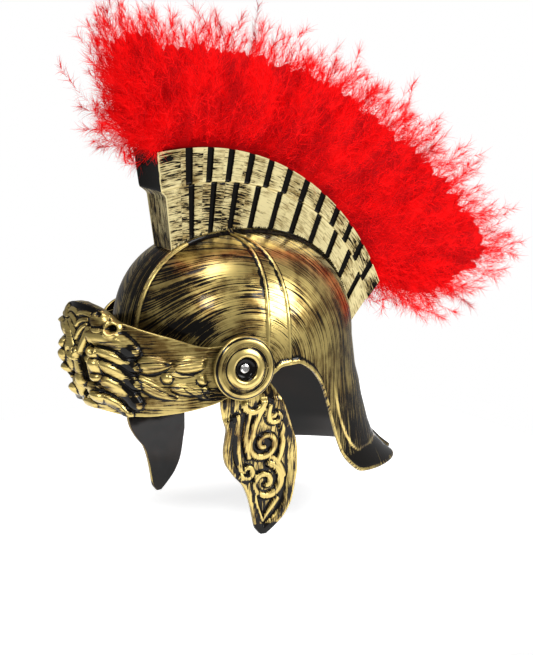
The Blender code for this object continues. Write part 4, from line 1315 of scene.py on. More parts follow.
@dataclass
class LionVisor:
    """The tall band over the brow, with a lion mask, its mane and laurel sprays."""

    scale: float = 0.100
    lean: float = 0.008
    tab_radius: float = 0.022
    plain_radius: float = 0.033
    columns: int = 480
    rows: int = 128
    edges: tuple = (
        (0.00, 0.56, -0.43), (0.12, 0.54, -0.44), (0.21, 0.50, -0.45), (0.29, 0.43, -0.455),
        (0.40, 0.385, -0.45), (0.60, 0.305, -0.41), (0.83, 0.205, -0.33), (1.00, 0.22, -0.22),
    )
    spread: tuple = ((0.0, 0.0), (0.56, 0.36), (0.93, 1.0), (1.0, 1.9976))
    domes: tuple = (
        (0.0, 12.0, 53.0, 58.0, 14.0), (0.0, -14.0, 49.0, 36.0, 9.0), (0.0, 30.0, 48.0, 28.0, 10.0),
    )
    ear: tuple = (37.0, 37.5)
    # the bar where a shadow is painted into the hollow next to the nose
    nose_shadow: tuple = (5.0, 4.0, 7.0, -13.0, 3.4, 3.4)
    locks: tuple = (
        ((21.0, 28.0), (38.0, 31.0), (50.5, 17.0), 9.0, 8.6, 6.4, 3.0, 0.7),
        ((23.0, 14.5), (40.0, 13.0), (51.0, 1.0), 6.2, 7.0, 5.8, 2.8, 0.7),
        ((24.0, 2.0), (40.0, 0.0), (50.5, -15.0), 7.8, 7.6, 6.4, 3.0, 0.7),
        ((24.0, -13.0), (40.0, -16.0), (49.5, -32.0), 8.6, 8.4, 6.4, 3.0, 0.7),
        ((17.0, -29.5), (31.0, -32.0), (42.0, -43.0), 6.4, 6.0, 4.8, 2.4, 0.7),
        ((15.5, 34.5), (9.5, 22.0), (1.5, 6.5), 4.4, 3.2, 4.4, 4.0, 0.5),
        ((12.0, 38.0), (5.0, 34.0), (0.0, 24.0), 2.5, 2.5, 2.8, 2.6, 0.5),
        ((12.5, 43.0), (4.0, 42.0), (0.0, 36.0), 2.4, 2.4, 2.4, 2.2, 0.5),
        ((15.0, 47.5), (6.0, 49.5), (0.0, 46.0), 2.2, 2.2, 1.8, 1.6, 0.5),
    )
    features: tuple = (
        (24.0, 43.0, 25.0, 42.5, 9.0, 9.0, 4.6, 0.6), (23.0, 49.5, 25.0, 49.0, 2.4, 2.4, -2.2, 1.0),
        (0.0, 12.0, 0.0, -17.0, 4.2, 5.8, 4.8, 0.6), (0.0, -16.5, 0.0, -19.0, 6.6, 6.6, 2.6, 0.6),
        (6.5, 7.0, 12.0, 7.5, 4.8, 4.4, -3.6, 0.8), (8.2, 5.6, 8.8, 5.4, 2.8, 2.8, 3.4, 0.5),
        (6.3, 2.0, 7.4, -14.0, 3.0, 3.0, -4.2, 0.9), (18.5, 13.0, 20.0, -6.0, 7.2, 7.6, 5.0, 0.6),
        (13.5, -24.0, 15.5, -28.0, 9.4, 9.0, 4.4, 0.6), (0.0, -27.0, 5.0, -33.0, 3.4, 3.0, -4.4, 0.9),
        (0.0, -40.0, 6.0, -40.0, 5.0, 4.5, 3.2, 0.7), (4.6, -20.5, 5.2, -20.5, 1.8, 1.8, -2.2, 0.9),
        (19.0, 21.0, 22.0, 16.0, 2.6, 2.2, -3.0, 0.9), (10.0, -14.5, 24.0, -15.0, 1.7, 1.7, -2.4, 0.9),
    )
    leaves: tuple = (
        (53.0, 2.5, 87.0, 6.0, 9.4, 5.0, 0.8), (89.0, 3.5, 123.0, 6.5, 8.8, 4.8, 0.8),
        (51.5, -9.0, 91.5, -26.0, 7.8, 4.6, -1.2), (84.0, -16.0, 123.5, -19.0, 6.0, 3.8, -0.6),
        (84.0, -2.0, 108.0, -4.5, 3.4, 2.0, 0.0), (97.0, -13.0, 121.0, -27.0, 4.2, 2.4, 0.0),
    )
    berries: tuple = ((81.7, -7.2, 5.2), (115.2, -8.8, 5.4), (117.5, -17.5, 3.4))
    berry_rise: float = 0.0042

    def table(self) -> tuple[Array, Array]:
        """Return shares of the plan and the arc lengths that they lie at."""
        shares = np.linspace(0.0, 1.0, 400)
        point = self.plan(shares, 0.0 * shares)
        steps = np.linalg.norm(np.diff(point, axis=0), axis=1)
        return shares, np.concatenate(((0.0,), np.cumsum(steps)))

    def plan(self, share: Array, lean: Array) -> Array:
        """Return points of the inner face's plan.

        Args:
            share: 0 at the front, 1 at the rivet, more behind it.
            lean: How far the front stands back.

        Returns:
            Points at height 0 of the wearer's left half.
        """
        half, end = RIVETS.ellipse(RIVETS.visor_plane)
        length = RIVETS.visor_length - lean
        turn = np.minimum(share, 1.0) * end
        tail = np.maximum(share - 1.0, 0.0) * self.tab_radius
        x = half * np.sin(turn) + tail * math.sin(RIVETS.tilt)
        y = RIVETS.visor_mid - length * np.cos(turn) + tail * math.cos(RIVETS.tilt)
        return np.stack((x, y, 0.0 * x), axis=-1)

    def grid(self, u: Array, v: Array) -> dict[str, Array]:
        """Turn shares of the sheet into places on the band.

        Args:
            u: 0 to 1 from the right tab over the brow to the left tab.
            v: 0 at the lower edge, 1 at the upper one.

        Returns:
            Side sign, share of the plan, height, plain point, outward direction, length along
            the band and distances from both edges, by name.
        """
        sign = np.where(u < 0.5, -1.0, 1.0)
        share = straight(self.spread, np.abs(2.0 * u - 1.0))
        share = np.where(share > 1.0, 1.0 + np.sin((share - 1.0) * math.pi / 2.0), share)
        top = flowing(self.edges, share, 1) * self.scale
        bottom = flowing(self.edges, share, 2) * self.scale
        tab = self.tab_radius * np.sqrt(np.maximum(1.0 - np.maximum(share - 1.0, 0.0) ** 2, 1e-6))
        top = np.where(share > 1.0, tab, top)
        bottom = np.where(share > 1.0, -tab, bottom)
        sink = 1.0 - v
        up = top + (bottom - top) * sink
        lean = self.lean * sink * ease((1.0 - share) / 0.5)
        point = self.plan(share, lean)
        near = self.plan(share + 0.005, lean) - self.plan(share - 0.005, lean)
        normal = np.stack((near[:, 1], -near[:, 0], 0.0 * up), axis=-1)
        normal /= np.linalg.norm(normal, axis=1, keepdims=True)
        shares, lengths = self.table()
        along = np.interp(share, shares, lengths) + np.maximum(share - 1.0, 0.0) * self.tab_radius
        return {
            "sign": sign, "share": share, "up": up, "point": point, "normal": normal,
            "along": along, "from_top": top - up, "from_bottom": up - bottom,
        }

    def lock_spot(self, x: Array, z: Array, lock: tuple) -> tuple[Array, Array, Array]:
        """Return where places lie in one lock, which falls steeply above and gently below.

        Args:
            x: Distance from the middle along the band, in mm.
            z: Height above the rivet line, in mm.
            lock: One row of the table of locks.

        Returns:
            Share of its length, distance to its side and distance from its crest, as shares.
        """
        share, side, away = along_curve(x, z, *lock[:5])
        past = np.maximum(away ** 2 - side ** 2, 0.0)
        slope = np.where(side > 0.35, (side - 0.35) / 0.65, (0.35 - side) / 1.35)
        return share, side, np.hypot(slope, np.sqrt(past))

    def mask_height(self, x: Array, z: Array) -> Array:
        """Return the lion mask's height in mm.

        Args:
            x: Distance from the middle along the band, in mm.
            z: Height above the rivet line, in mm.

        Returns:
            Height above the plain band, in mm.
        """
        height = 0.0 * x
        for cx, cz, wide, tall, rise in self.domes:
            away = np.hypot((x - cx) / wide, (z - cz) / tall)
            height = join_forms(height, rise * swell(away, 0.8), 2.5)
        best = 0.0 * x
        for lock in self.locks:
            _, side, off = self.lock_spot(x, z, lock)
            ridges = 0.5 * np.cos((side - 0.35) * lock[7] * math.pi) * ease((0.7 - side) / 0.3)
            rise = lock[5] + ridges
            best = np.maximum(best, rise * swell(off, 0.55))
        height = height + best
        for form in self.features:
            away = bar(x, z, form[:6])
            height = height + form[6] * swell(away, form[7])
        away = np.hypot(x - self.ear[0], z - self.ear[1])
        ear = 3.4 * peak(away - 5.0, 2.0) - 3.2 * swell(away / 3.4)
        return np.maximum(height + ear, 0.0)

    def mask(self, x: Array, z: Array) -> tuple[Array, Array]:
        """Return the lion mask's relief, and the paint's wear with painted shade and highlights.

        Args:
            x: Distance from the middle along the band, in mm.
            z: Height above the rivet line, in mm.

        Returns:
            Relief in metres, and wear with painted shade in the mask's hollows and on the locks' lower sides
            and ends, and painted highlights on its ridges.
        """
        height = self.mask_height(x, z)
        # painted shade in hollows and painted highlight on ridges, from the height against its neighbours'
        # mean
        wear_and_light = 0.0 * x
        for reach, share in ((1.0, 0.40), (3.0, 0.20)):
            around = self.mask_height(np.abs(x - reach), z) + self.mask_height(x + reach, z)
            around = around + self.mask_height(x, z - reach) + self.mask_height(x, z + reach)
            wear_and_light -= share * (around / 4.0 - height)
        wear_and_light = np.clip(wear_and_light, -0.9, 0.24)
        # painted shade on each lock's lower side and end, and a painted highlight along its upper ridge
        for lock in self.locks[:5]:
            share, side, off = self.lock_spot(x, z, lock)
            wear_and_light -= 0.14 * ease((-0.15 - side) / 0.5) * (off < 1.0)
            wear_and_light -= 0.20 * ease((share - 0.50) / 0.3) * ease((0.30 - side) / 0.5) * (off < 1.0)
            wear_and_light -= 0.38 * ease((share - 0.84) / 0.12) * (off < 1.05)
            wear_and_light += 0.15 * peak(side - 0.30, 0.22) * (off < 1.0)
        wear_and_light -= 0.65 * ease((z - 49.0) / 4.0) * ease((42.0 - x) / 10.0)
        # painted shade under and round the locks' right ends
        lock_end_shade = ease((x - 43.5) / 4.0) * ease((54.5 - x) / 3.0)
        wear_and_light -= 0.45 * lock_end_shade * ease((26.0 - z) / 6.0) * ease((z + 40.0) / 5.0)
        # painted shadow in the hollow next to the nose
        away = bar(x, z, self.nose_shadow)
        wear_and_light -= 0.7 * swell(away)
        return height / MM, wear_and_light

    def laurel(self, x: Array, z: Array) -> tuple[Array, Array]:
        """Return the relief of the leaves and berries, and the paint's wear with painted shade and
        highlights.

        Args:
            x: Distance from the middle along the band, in mm.
            z: Height above the rivet line, in mm.

        Returns:
            Relief in metres and wear.
        """
        relief = 0.0 * x
        wear_and_light = 0.0 * x
        for x0, z0, x1, z1, wide, tall, curl in self.leaves:
            length = math.hypot(x1 - x0, z1 - z0)
            share = ((x - x0) * (x1 - x0) + (z - z0) * (z1 - z0)) / length ** 2
            side = ((z - z0) * (x1 - x0) - (x - x0) * (z1 - z0)) / length
            held = np.clip(share, 0.0, 1.0)
            half = wide * np.sqrt(np.maximum(np.sin(held ** 0.85 * math.pi), 0.0)) * (1.0 - 0.2 * held)
            bowed = (side - curl * np.sin(held * math.pi)) / np.maximum(half, 0.4)
            away = np.abs(bowed)
            inside = (share > 0.0) & (share < 1.0)
            body = np.where(inside, swell(away, 0.5), 0.0)
            folds = peak(bowed - 0.28, 0.13) + 0.7 * peak(bowed + 0.38, 0.12)
            tip = ease((held - 0.72) / 0.2) * ease((0.55 - away) / 0.3)
            relief = np.maximum(relief, (tall - 0.9 * folds - 1.2 * tip) * body / MM)
            # painted shade along each leaf's lower edge; leaf bodies are painted lighter as a highlight,
            # folds and tips darker as shade
            wear_and_light -= 0.62 * peak(away - 1.10, 0.15) * inside * ease((0.5 - bowed) / 1.2)
            wear_and_light += (0.12 - 0.32 * folds - 0.35 * tip) * body
        for cx, cz, radius in self.berries:
            away = np.hypot(x - cx, z - cz) / radius
            relief = np.maximum(relief, self.berry_rise * swell(away, 0.5))
            # painted shadow under each berry and a painted highlight on its dome
            shadow = peak(away - 1.15, 0.15) * ease((cz + 3.0 - z) / 5.0)
            wear_and_light += 0.25 * swell(away) - 0.7 * shadow
        return relief, wear_and_light

    def outer(self, u: Array, v: Array) -> tuple[Array, Array]:
        """Return the outer surface."""
        spot = self.grid(u, v)
        x, z = spot["along"] * MM, spot["up"] * MM
        mask, mask_wear_and_light = self.mask(x, z)
        leaf, leaf_wear_and_light = self.laurel(x, z)
        pivot = RIVETS.point(Side.LEFT, RIVETS.visor_plane)
        away = np.hypot(np.linalg.norm(spot["point"][:, :2] - pivot[:2], axis=1), spot["up"])
        clear = ease((away - self.plain_radius) / 0.006)
        rim = np.minimum(spot["from_top"], spot["from_bottom"])
        relief = np.maximum(join_forms(mask, leaf, 0.0004), 0.0) * clear
        wear_and_light = (mask_wear_and_light + leaf_wear_and_light) * clear
        # painted highlight in bright lines along the band's top and bottom edges
        wear_and_light += 0.35 * peak(rim, 0.0012)
        wear_and_light -= 0.17 * ease((x - 100.0) / 14.0) * ease((-z - 14.0) / 6.0)
        point = spot["point"] + spot["normal"] * (RIVETS.wall + relief)[:, None]
        point[:, 2] = spot["up"] - RISE
        point[:, 0] *= spot["sign"]
        bend = 0.15 * spot["from_top"]
        brush = np.stack((spot["along"] + 2.0 * spot["sign"], spot["up"] + bend, wear_and_light), axis=-1)
        return point, brush

    def inner(self, u: Array, v: Array) -> tuple[Array, Array]:
        """Return the inner surface."""
        spot = self.grid(u, v)
        point = spot["point"].copy()
        point[:, 2] = spot["up"] - RISE
        point[:, 0] *= spot["sign"]
        brush = np.stack((spot["along"], spot["up"], 0.0 * u), axis=-1)
        return point, brush

    def build(self) -> None:
        """Build and dress the visor."""
        piece = walled_sheet("visor_shell", self.columns, self.rows, self.outer, self.inner)
        gold = BrushedGold("visor_gold", cover=0.07, length=40.0, fine=850.0, seed=5.0)
        dress(piece, gold.make(), GlossBlack("visor_inside").make())
        settle(piece, Body.VISOR, "visor_band", "visor_band")


@dataclass
class CheekGuard:
    """A leaf-shaped plate with a raised rim and scrolls on a dark field."""

    side: Side
    length: float = 0.165
    width: float = 0.072
    tab_radius: float = 0.018
    lean: float = 0.012
    lean_start: float = 0.028
    lean_length: float = 0.070
    rim_relief: float = 0.0026
    rim_width: float = 0.0056
    scroll_relief: float = 0.0042
    scroll_width: float = 1.3
    columns: int = 110
    rows: int = 250
    outline: tuple = (
        (0.08, -0.215, 0.355), (0.20, -0.255, 0.555), (0.29, -0.215, 0.655), (0.38, -0.145, 0.745),
        (0.48, -0.145, 0.845), (0.56, -0.115, 0.875), (0.64, -0.005, 0.875), (0.72, 0.145, 0.845),
        (0.82, 0.225, 0.795), (0.90, 0.265, 0.695), (0.96, 0.295, 0.555), (1.00, 0.365, 0.435),
    )

    spirals: tuple = (
        (28.5, 78.0, 16.2, 3.2, 480.0, 215.0, -1.0, 3.1, 2.2),
        (30.5, 115.5, 18.0, 3.0, 500.0, -75.0, 1.0, 3.1, 2.2),
        (11.0, 35.0, 12.4, 7.0, 200.0, -10.0, 1.0, 3.1, 2.6),
        (36.0, 51.5, 6.6, 2.2, 330.0, 170.0, -1.0, 2.4, 2.2),
        (12.5, 103.5, 7.2, 2.6, 330.0, 150.0, -1.0, 2.6, 2.0),
    )
    stems: tuple = (
        ((-3.0, 48.0), (-1.0, 66.0), (3.0, 84.0), (5.5, 101.0), 2.8, 2.6),
        ((9.0, 46.0), (6.5, 60.0), (8.0, 78.0), (14.0, 90.0), 2.2, 2.2),
        ((22.0, 42.0), (17.0, 48.0), (15.0, 60.0), (14.5, 70.0), 2.8, 3.1),
        ((41.5, 58.0), (48.0, 68.0), (49.0, 86.0), (43.0, 96.0), 2.2, 2.6),
        ((29.0, 40.0), (27.5, 45.0), (28.0, 50.0), (30.0, 54.0), 2.2, 2.4),
        ((36.0, 92.0), (41.0, 94.0), (46.0, 100.0), (48.0, 110.0), 2.2, 3.0),
        ((27.5, 152.0), (30.0, 146.0), (36.0, 141.0), (42.0, 132.5), 1.2, 2.4),
        ((20.0, 128.0), (22.0, 138.0), (25.0, 146.0), (27.5, 152.0), 1.6, 1.2),
    )
    spiral_points: int = 90
    stem_points: int = 40

    def scrolls(self) -> Array:
        """Return points of the scrolls: across, drop and half width, in mm from the rivet."""
        points = []
        t = np.arange(self.spiral_points) / (self.spiral_points - 1)
        for cx, cz, outer, inner, turns, start, hand, wide, thin in self.spirals:
            turn = np.radians(start + hand * turns * t)
            radius = outer + (inner - outer) * t
            spiral = (cx + radius * np.cos(turn), cz + radius * np.sin(turn), wide + (thin - wide) * t)
            points.append(np.stack(spiral, axis=-1))
        t = np.arange(self.stem_points) / (self.stem_points - 1)
        s = 1.0 - t
        shares = np.stack((s ** 3, 3.0 * s * s * t, 3.0 * s * t * t, t ** 3), axis=-1)
        for *corners, wide, thin in self.stems:
            points.append(np.column_stack((shares @ np.array(corners), wide + (thin - wide) * t)))
        return np.concatenate(points)

    def edges(self, drop: Array) -> tuple[Array, Array]:
        """Return the front and rear edge.

        Args:
            drop: Distances below the rivet line.

        Returns:
            Distances behind the rivet of both edges.
        """
        share = drop / self.length
        front = flowing(self.outline, share, 1) * self.width
        rear = flowing(self.outline, share, 2) * self.width
        first = self.outline[0][0] * self.length
        half = np.sqrt(np.maximum(self.tab_radius ** 2 - np.minimum(drop, 0.0) ** 2, 1e-8))
        blend = ease(drop / first)
        front = np.where(drop < first, -half + (front + half) * blend, front)
        rear = np.where(drop < first, half + (rear - half) * blend, rear)
        return front, rear

    def place(self, across: Array, drop: Array, out: Array) -> Array:
        """Return points of the plate.

        Args:
            across: Distance behind the rivet.
            drop: Distance below it.
            out: Distance outside the inner face.

        Returns:
            Points in the row's frame.
        """
        pivot_x = RIVETS.plane + math.cos(RIVETS.tilt) * out
        y = RIVETS.back + across
        depth = RIVETS.visor_mid - (RIVETS.back - math.sin(RIVETS.tilt) * out)
        half = pivot_x / np.sqrt(1.0 - (depth / RIVETS.visor_length) ** 2)
        curved = half * np.sqrt(1.0 - ((y - RIVETS.visor_mid) / RIVETS.visor_length) ** 2)
        x = np.where(across < 0.0, curved, pivot_x + across * math.tan(RIVETS.tilt))
        x = x - self.lean * ease((drop - self.lean_start) / self.lean_length)
        return np.stack((self.side.value * x, y, -RISE - drop), axis=-1)

    def grid(self, u: Array, v: Array) -> tuple[Array, Array, Array]:
        """Turn shares of the sheet into places on the plate.

        Args:
            u: 0 at the front edge, 1 at the rear one.
            v: 0 at the top of the tab, 1 at the tip.

        Returns:
            Distance behind the rivet, distance below it and distance from the outline.
        """
        drop = -self.tab_radius + (self.length + self.tab_radius) * v
        front, rear = self.edges(drop)
        across = front + (rear - front) * u
        step = 0.0015
        ahead = self.edges(drop + step)
        slope_front = np.hypot(1.0, (ahead[0] - front) / step)
        slope_rear = np.hypot(1.0, (ahead[1] - rear) / step)
        from_edge = np.minimum((across - front) / slope_front, (rear - across) / slope_rear)
        from_edge = np.minimum(from_edge, self.length - drop)
        return across, drop, from_edge

    def outer(self, u: Array, v: Array) -> tuple[Array, Array]:
        """Return the outer surface."""
        across, drop, from_edge = self.grid(u, v)
        best = np.full_like(u, 9.0)
        for x, z, half in self.scrolls():
            away = np.hypot(across * MM - x, drop * MM - z) / (self.scroll_width * half)
            best = np.minimum(best, away)
        covered = 0.031 + 0.017 * ease((0.004 - across) / 0.016)
        shown = ease((drop - covered) / 0.005)
        rim_place = from_edge / self.rim_width
        rim = ease(1.9 - rim_place) * (1.0 - 0.25 * ease(1.0 - rim_place * 1.6))
        scroll = swell(best, 0.5)
        groove = 0.16 * peak(best, 0.28)
        relief = np.maximum(rim * self.rim_relief, (scroll - groove) * self.scroll_relief) * shown
        ground = ease((best - 0.95) / 0.15) * ease((rim_place - 1.45) / 0.3)
        # painted highlight along each scroll's middle and painted shade down its sides
        scroll_light_and_shade = 0.26 * ease(1.0 - best) - 0.16 * ease(best / 0.9) * (best < 1.0)
        wear_and_light = shown * (scroll_light_and_shade - 0.12 * ground)
        # painted shade in lines at the rim's inner foot and round the scrolls' feet
        wear_and_light -= 0.30 * peak(rim_place - 1.75, 0.3)
        wear_and_light -= 0.50 * peak(best - 1.18, 0.17) * shown
        wear_and_light -= 0.16 * ease(1.6 - rim_place)
        wear_and_light += 0.25 * peak(from_edge - 0.0008, 0.001)
        wear_and_light -= 0.9 * ease((drop - 0.1545) / 0.003)
        point = self.place(across, drop, RIVETS.wall + relief)
        brush = np.stack((drop + self.side.value, across, wear_and_light), axis=-1)
        return point, brush

    def inner(self, u: Array, v: Array) -> tuple[Array, Array]:
        """Return the inner surface."""
        across, drop, _ = self.grid(u, v)
        point = self.place(across, drop, 0.0 * u)
        brush = np.stack((drop, across, 0.0 * u), axis=-1)
        return point, brush

    def build(self) -> None:
        """Build and dress the cheek guard."""
        side, seed = self.side.word, 8.0 + self.side.value
        piece = walled_sheet(f"cheek_shell_{side}", self.columns, self.rows, self.outer, self.inner)
        gold = BrushedGold(f"cheek_gold_{side}", cover=0.06, length=50.0, seed=seed)
        inside = GlossBlack(f"cheek_inside_{side}", dimple=45.0, depth=0.002)
        dress(piece, gold.make(), inside.make())
        settle(piece, Body[f"CHEEK_{self.side.name}"], f"cheek_guard_{side}", f"cheek_guard_{side}")


@dataclass
class PivotBoss:
    """A rosette with the bright head of its rivet."""

    side: Side
    radius: float = 0.030
    depth: float = 0.0084
    head_radius: float = 0.0045
    head_edge: float = 0.0008
    head_rise: float = 0.0012
    seat_share: float = 0.31
    seat_gap: float = 0.0003
    stem: tuple = (0.0019, 0.004)
    dimple: tuple = ((0.34, 0.00185), (0.2, 0.0012), (0.0, 0.0012))
    steps: int = 96
    head_steps: int = 40
    profile: tuple = (
        (0.0, 0.00, -0.6), (0.60, 0.00, -0.6), (0.94, 0.00, -0.6), (0.985, 0.05, -0.4),
        (1.00, 0.14, 0.1), (1.00, 0.30, 0.2), (0.985, 0.46, 0.3), (0.955, 0.50, -0.5),
        (0.935, 0.55, -0.4), (0.90, 0.66, 0.1), (0.86, 0.71, 0.12), (0.80, 0.73, -0.02), (0.72, 0.72, -0.15),
        (0.65, 0.74, -0.22), (0.60, 0.82, -0.05), (0.55, 0.92, 0.3), (0.50, 0.985, 0.45), (0.45, 1.00, 0.45),
        (0.41, 0.96, 0.3), (0.37, 0.82, -0.1), (0.33, 0.60, -0.45), (0.29, 0.40, -0.6), (0.24, 0.31, -0.5),
        (0.12, 0.30, -0.5), (0.0, 0.30, -0.5),
    )

    def head(self) -> list[tuple]:
        """Return the rivet's profile: a thin stem and a dimpled dome."""
        seat = self.seat_share * self.depth + self.seat_gap
        stem, foot = self.stem
        rows = [(0.0, -foot), (stem, -foot), (stem, seat), (self.head_radius, seat)]
        for k in range(6):
            turn = math.radians(90.0 * k / 8.0)
            front = self.head_edge + self.head_rise * math.sin(turn)
            rows.append((self.head_radius * math.cos(turn), seat + front))
        rows += [(self.head_radius * share, seat + front) for share, front in self.dimple]
        return [(radius, front, 0.0) for radius, front in rows]

    def build(self) -> None:
        """Build and dress the rosette and its rivet."""
        side = self.side.word
        axis = RIVETS.axis(self.side)
        start = RIVETS.point(self.side, RIVETS.rosette_plane)
        rows = [(r * self.radius, f * self.depth, wear_and_light) for r, f, wear_and_light in self.profile]
        boss = turned(f"rosette_turned_{side}", rows, axis, start, self.steps)
        gold = BrushedGold(f"rosette_gold_{side}", cover=0.06, length=30.0, seed=11.0)
        dress(boss, gold.make())
        settle(boss, Body.SHELL, f"rosette_{side}", f"rosette_{side}")
        rivet = turned(f"rivet_head_{side}", self.head(), axis, start, self.head_steps)
        steel = PressedSteel(f"rivet_steel_{side}").make()
        dress(rivet, steel)
        settle(rivet, Body.SHELL, f"rivet_{side}")
        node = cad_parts[f"rivet_{side}"]
        node.data.materials.clear()
        dress(node, steel)


@dataclass
class FeatherPlume:
    """The fan of dyed feathers: a soft core and three coats of barbs on curved stems."""

    reach: float = 0.170
    half_width: float = 0.030
    stems: int = 250
    barbs: int = 96
    joints: int = 2
    coats: tuple = (-0.8, -0.3, 0.3, 0.8)
    seed: int = 11
    crest: CrestHolder = field(default_factory=CrestHolder)
    room: tuple = ((2, 1.0, 0.224, 0.239), (1, 1.0, 0.362, 0.382), (1, -1.0, 0.176, 0.189))
    core_height: float = 0.845
    core_half: tuple = ((0.0, 0.006), (0.3, 0.009), (0.6, 0.008), (1.0, 0.003))
    stem_length: tuple = (0.83, 0.99)
    stem_lean: float = 0.012
    stem_bow: float = 0.006
    short_share: float = 0.30
    short_length: float = 0.66
    barb_length: tuple = (0.010, 0.021)
    barb_half: tuple = (0.00018, 0.00034)
    barb_tip: float = 0.12
    opening: tuple = (34.0, 16.0)
    closing: tuple = (12.0, 26.0)
    locks: tuple = (
        (97.2, 103.5, 0.18), (96.8, 104.0, 0.34), (96.2, 103.0, 0.55), (95.4, 103.0, 0.75),
        (92.6, 98.8, 0.78), (89.0, 93.0, 0.66), (83.5, 84.5, 0.63), (77.8, 76.6, 0.62),
        (72.2, 69.4, 0.61), (66.4, 62.2, 0.64), (60.6, 54.8, 0.65), (54.8, 47.4, 0.66),
        (49.4, 40.6, 0.71), (44.2, 34.2, 0.78), (39.4, 28.0, 0.85), (35.0, 21.8, 0.92),
        (30.8, 15.0, 1.00), (28.4, 12.5, 0.77), (26.6, 11.5, 0.45), (25.4, 15.0, 0.18),
    )

    def stem(self, place: Array) -> tuple[Array, Array]:
        """Return the root and the tip of stems.

        Args:
            place: Places from 0 at the brow to 1 at the nape, in locks.

        Returns:
            Roots and tips in the middle plane.
        """
        at = place * (len(self.locks) - 1)
        rows = [(float(k),) + lock for k, lock in enumerate(self.locks)]
        root = flowing(rows, at, 1)
        tip = flowing(rows, at, 2)
        reach = flowing(rows, at, 3)
        share = (self.crest.front_angle - root) / (self.crest.front_angle - self.crest.rear_top_angle)
        _, top = self.crest.line(share)
        return top, self.crest.polar(tip, self.crest.front_top_radius + reach * self.reach)

    def core_surface(self, u: Array, v: Array) -> tuple[Array, Array]:
        """Return the soft core's skin: round its section and along the crest.

        Args:
            u: Shares of the way round.
            v: Shares of the crest's length.

        Returns:
            Points, and brush lines and wear.
        """
        root, tip = self.stem(0.01 + 0.98 * v)
        turn = u * 2.0 * math.pi
        height = 0.5 - 0.5 * np.cos(turn)
        side = np.sin(turn)
        fuller = 1.0 + 0.06 * ripple(v * 95.0, height * 9.0) + 0.045 * ripple(v * 330.0, height * 3.0)
        point = root + (tip - root) * (height * self.core_height * fuller - 0.02)[:, None]
        point[:, 0] = side * straight(self.core_half, height) * fuller
        # the brush lines' third part of -0.12 darkens the core: painted shade inside the fan
        brush = np.stack((height * 0.1, v * 0.5, -0.12 + 0.0 * u), axis=-1)
        return point, brush

    def core(self) -> Piece:
        """Build the core, which keeps daylight out of the fan."""
        shape = open_shape()
        lay_sheet(shape, 32, 300, self.core_surface)
        fill_holes(shape, MERGE)
        return close_shape("plume_core", shape)

    def hold_in(self, line: Array) -> Array:
        """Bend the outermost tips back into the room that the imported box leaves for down.

        Args:
            line: Points along the barbs.

        Returns:
            The points with their height and depth held.
        """
        held = line.copy()
        for axis, sign, start, end in self.room:
            over = np.maximum(sign * held[..., axis] - start, 0.0)
            bent = start + (end - start) * np.tanh(over / (end - start))
            held[..., axis] = np.where(over > 0.0, sign * bent, held[..., axis])
        return held

    def blank_barbs(self, count: int) -> bpy.types.Mesh:
        """Return a mesh of one barb strip repeated by an array.

        Args:
            count: How many barbs.

        Returns:
            The joined mesh, barb after barb.
        """
        shape = bmesh.new()
        bmesh.ops.create_grid(shape, x_segments=1, y_segments=self.joints, size=0.5)
        mesh = bpy.data.meshes.new("barb")
        shape.to_mesh(mesh)
        shape.free()
        blank = bpy.data.objects.new("barb", mesh)
        bpy.context.scene.collection.objects.link(blank)
        repeat = blank.modifiers.new("repeat", "ARRAY")
        repeat.count = count
        repeat.use_relative_offset = False
        graph = bpy.context.evaluated_depsgraph_get()
        joined = bpy.data.meshes.new_from_object(blank.evaluated_get(graph))
        bpy.data.objects.remove(blank, do_unlink=True)
        return joined

    def coat(self, name: str, offset: float, seed: int) -> Piece:
        """Build one coat of stems and barbs.

        Args:
            name: The piece's name.
            offset: Where it lies across the fan, from -1 to 1.
            seed: Fixes its scatter.

        Returns:
            The coat.
        """
        dice = np.random.default_rng(seed)
        stems, barbs, joints = self.stems, self.barbs, self.joints
        place = np.clip((np.arange(stems) + dice.uniform(-0.4, 0.4, stems)) / (stems - 1), 0.0, 1.0)
        root, tip = self.stem(place)
        long = dice.uniform(*self.stem_length, stems)
        long = np.where(dice.random(stems) < self.short_share, long * self.short_length, long)
        tip = root + (tip - root) * long[:, None]
        spread = (offset + dice.normal(0.0, 0.22, stems)) * self.half_width * 0.85
        root[:, 0] = spread * 0.50
        tip[:, 0] = spread
        tip[:, 1:] += dice.normal(0.0, self.stem_lean, (stems, 2))
        run = (tip - root)[:, None, :]
        drift = [dice.normal(0.0, self.stem_bow, stems) for _ in range(2)]
        bow = np.stack((spread * 0.5, *drift), axis=-1)[:, None, :]
        t = 1.0 - 0.97 * np.sort(dice.random((stems, barbs)), axis=1) ** 1.9
        base = root[:, None, :] + run * t[..., None] + bow * (4.0 * t * (1.0 - t))[..., None]
        ahead = unit(run + bow * (4.0 - 8.0 * t)[..., None])
        inward = unit(np.cross(ahead, np.array((1.0, 0.0, 0.0))))
        outward = np.cross(inward, ahead)
        flip = np.where(dice.random((stems, barbs)) < 0.5, -1.0, 1.0)
        roll = dice.normal(0.0, 0.75, (stems, barbs))
        clump = np.sin(t * 26.0 + dice.uniform(0.0, 6.3, (stems, 1))) * 0.30
        roll = roll + clump
        side = (flip * np.cos(roll))[..., None] * inward + np.sin(roll)[..., None] * outward
        long = dice.uniform(*self.barb_length, (stems, barbs))
        long = long * (0.75 + 0.25 * np.sin(np.clip(t * 1.1, 0.0, 1.0) * math.pi))
        open_angle = np.radians(dice.normal(*self.opening, (stems, barbs)))
        close_angle = open_angle + np.radians(dice.normal(*self.closing, (stems, barbs))) + clump * 0.5
        held = 1.0 - 0.35 * t ** 6
        open_angle, close_angle = open_angle * held, close_angle * held
        line = [base]
        for k in range(joints):
            share = (k + 0.5) / joints
            angle = open_angle + (close_angle - open_angle) * share
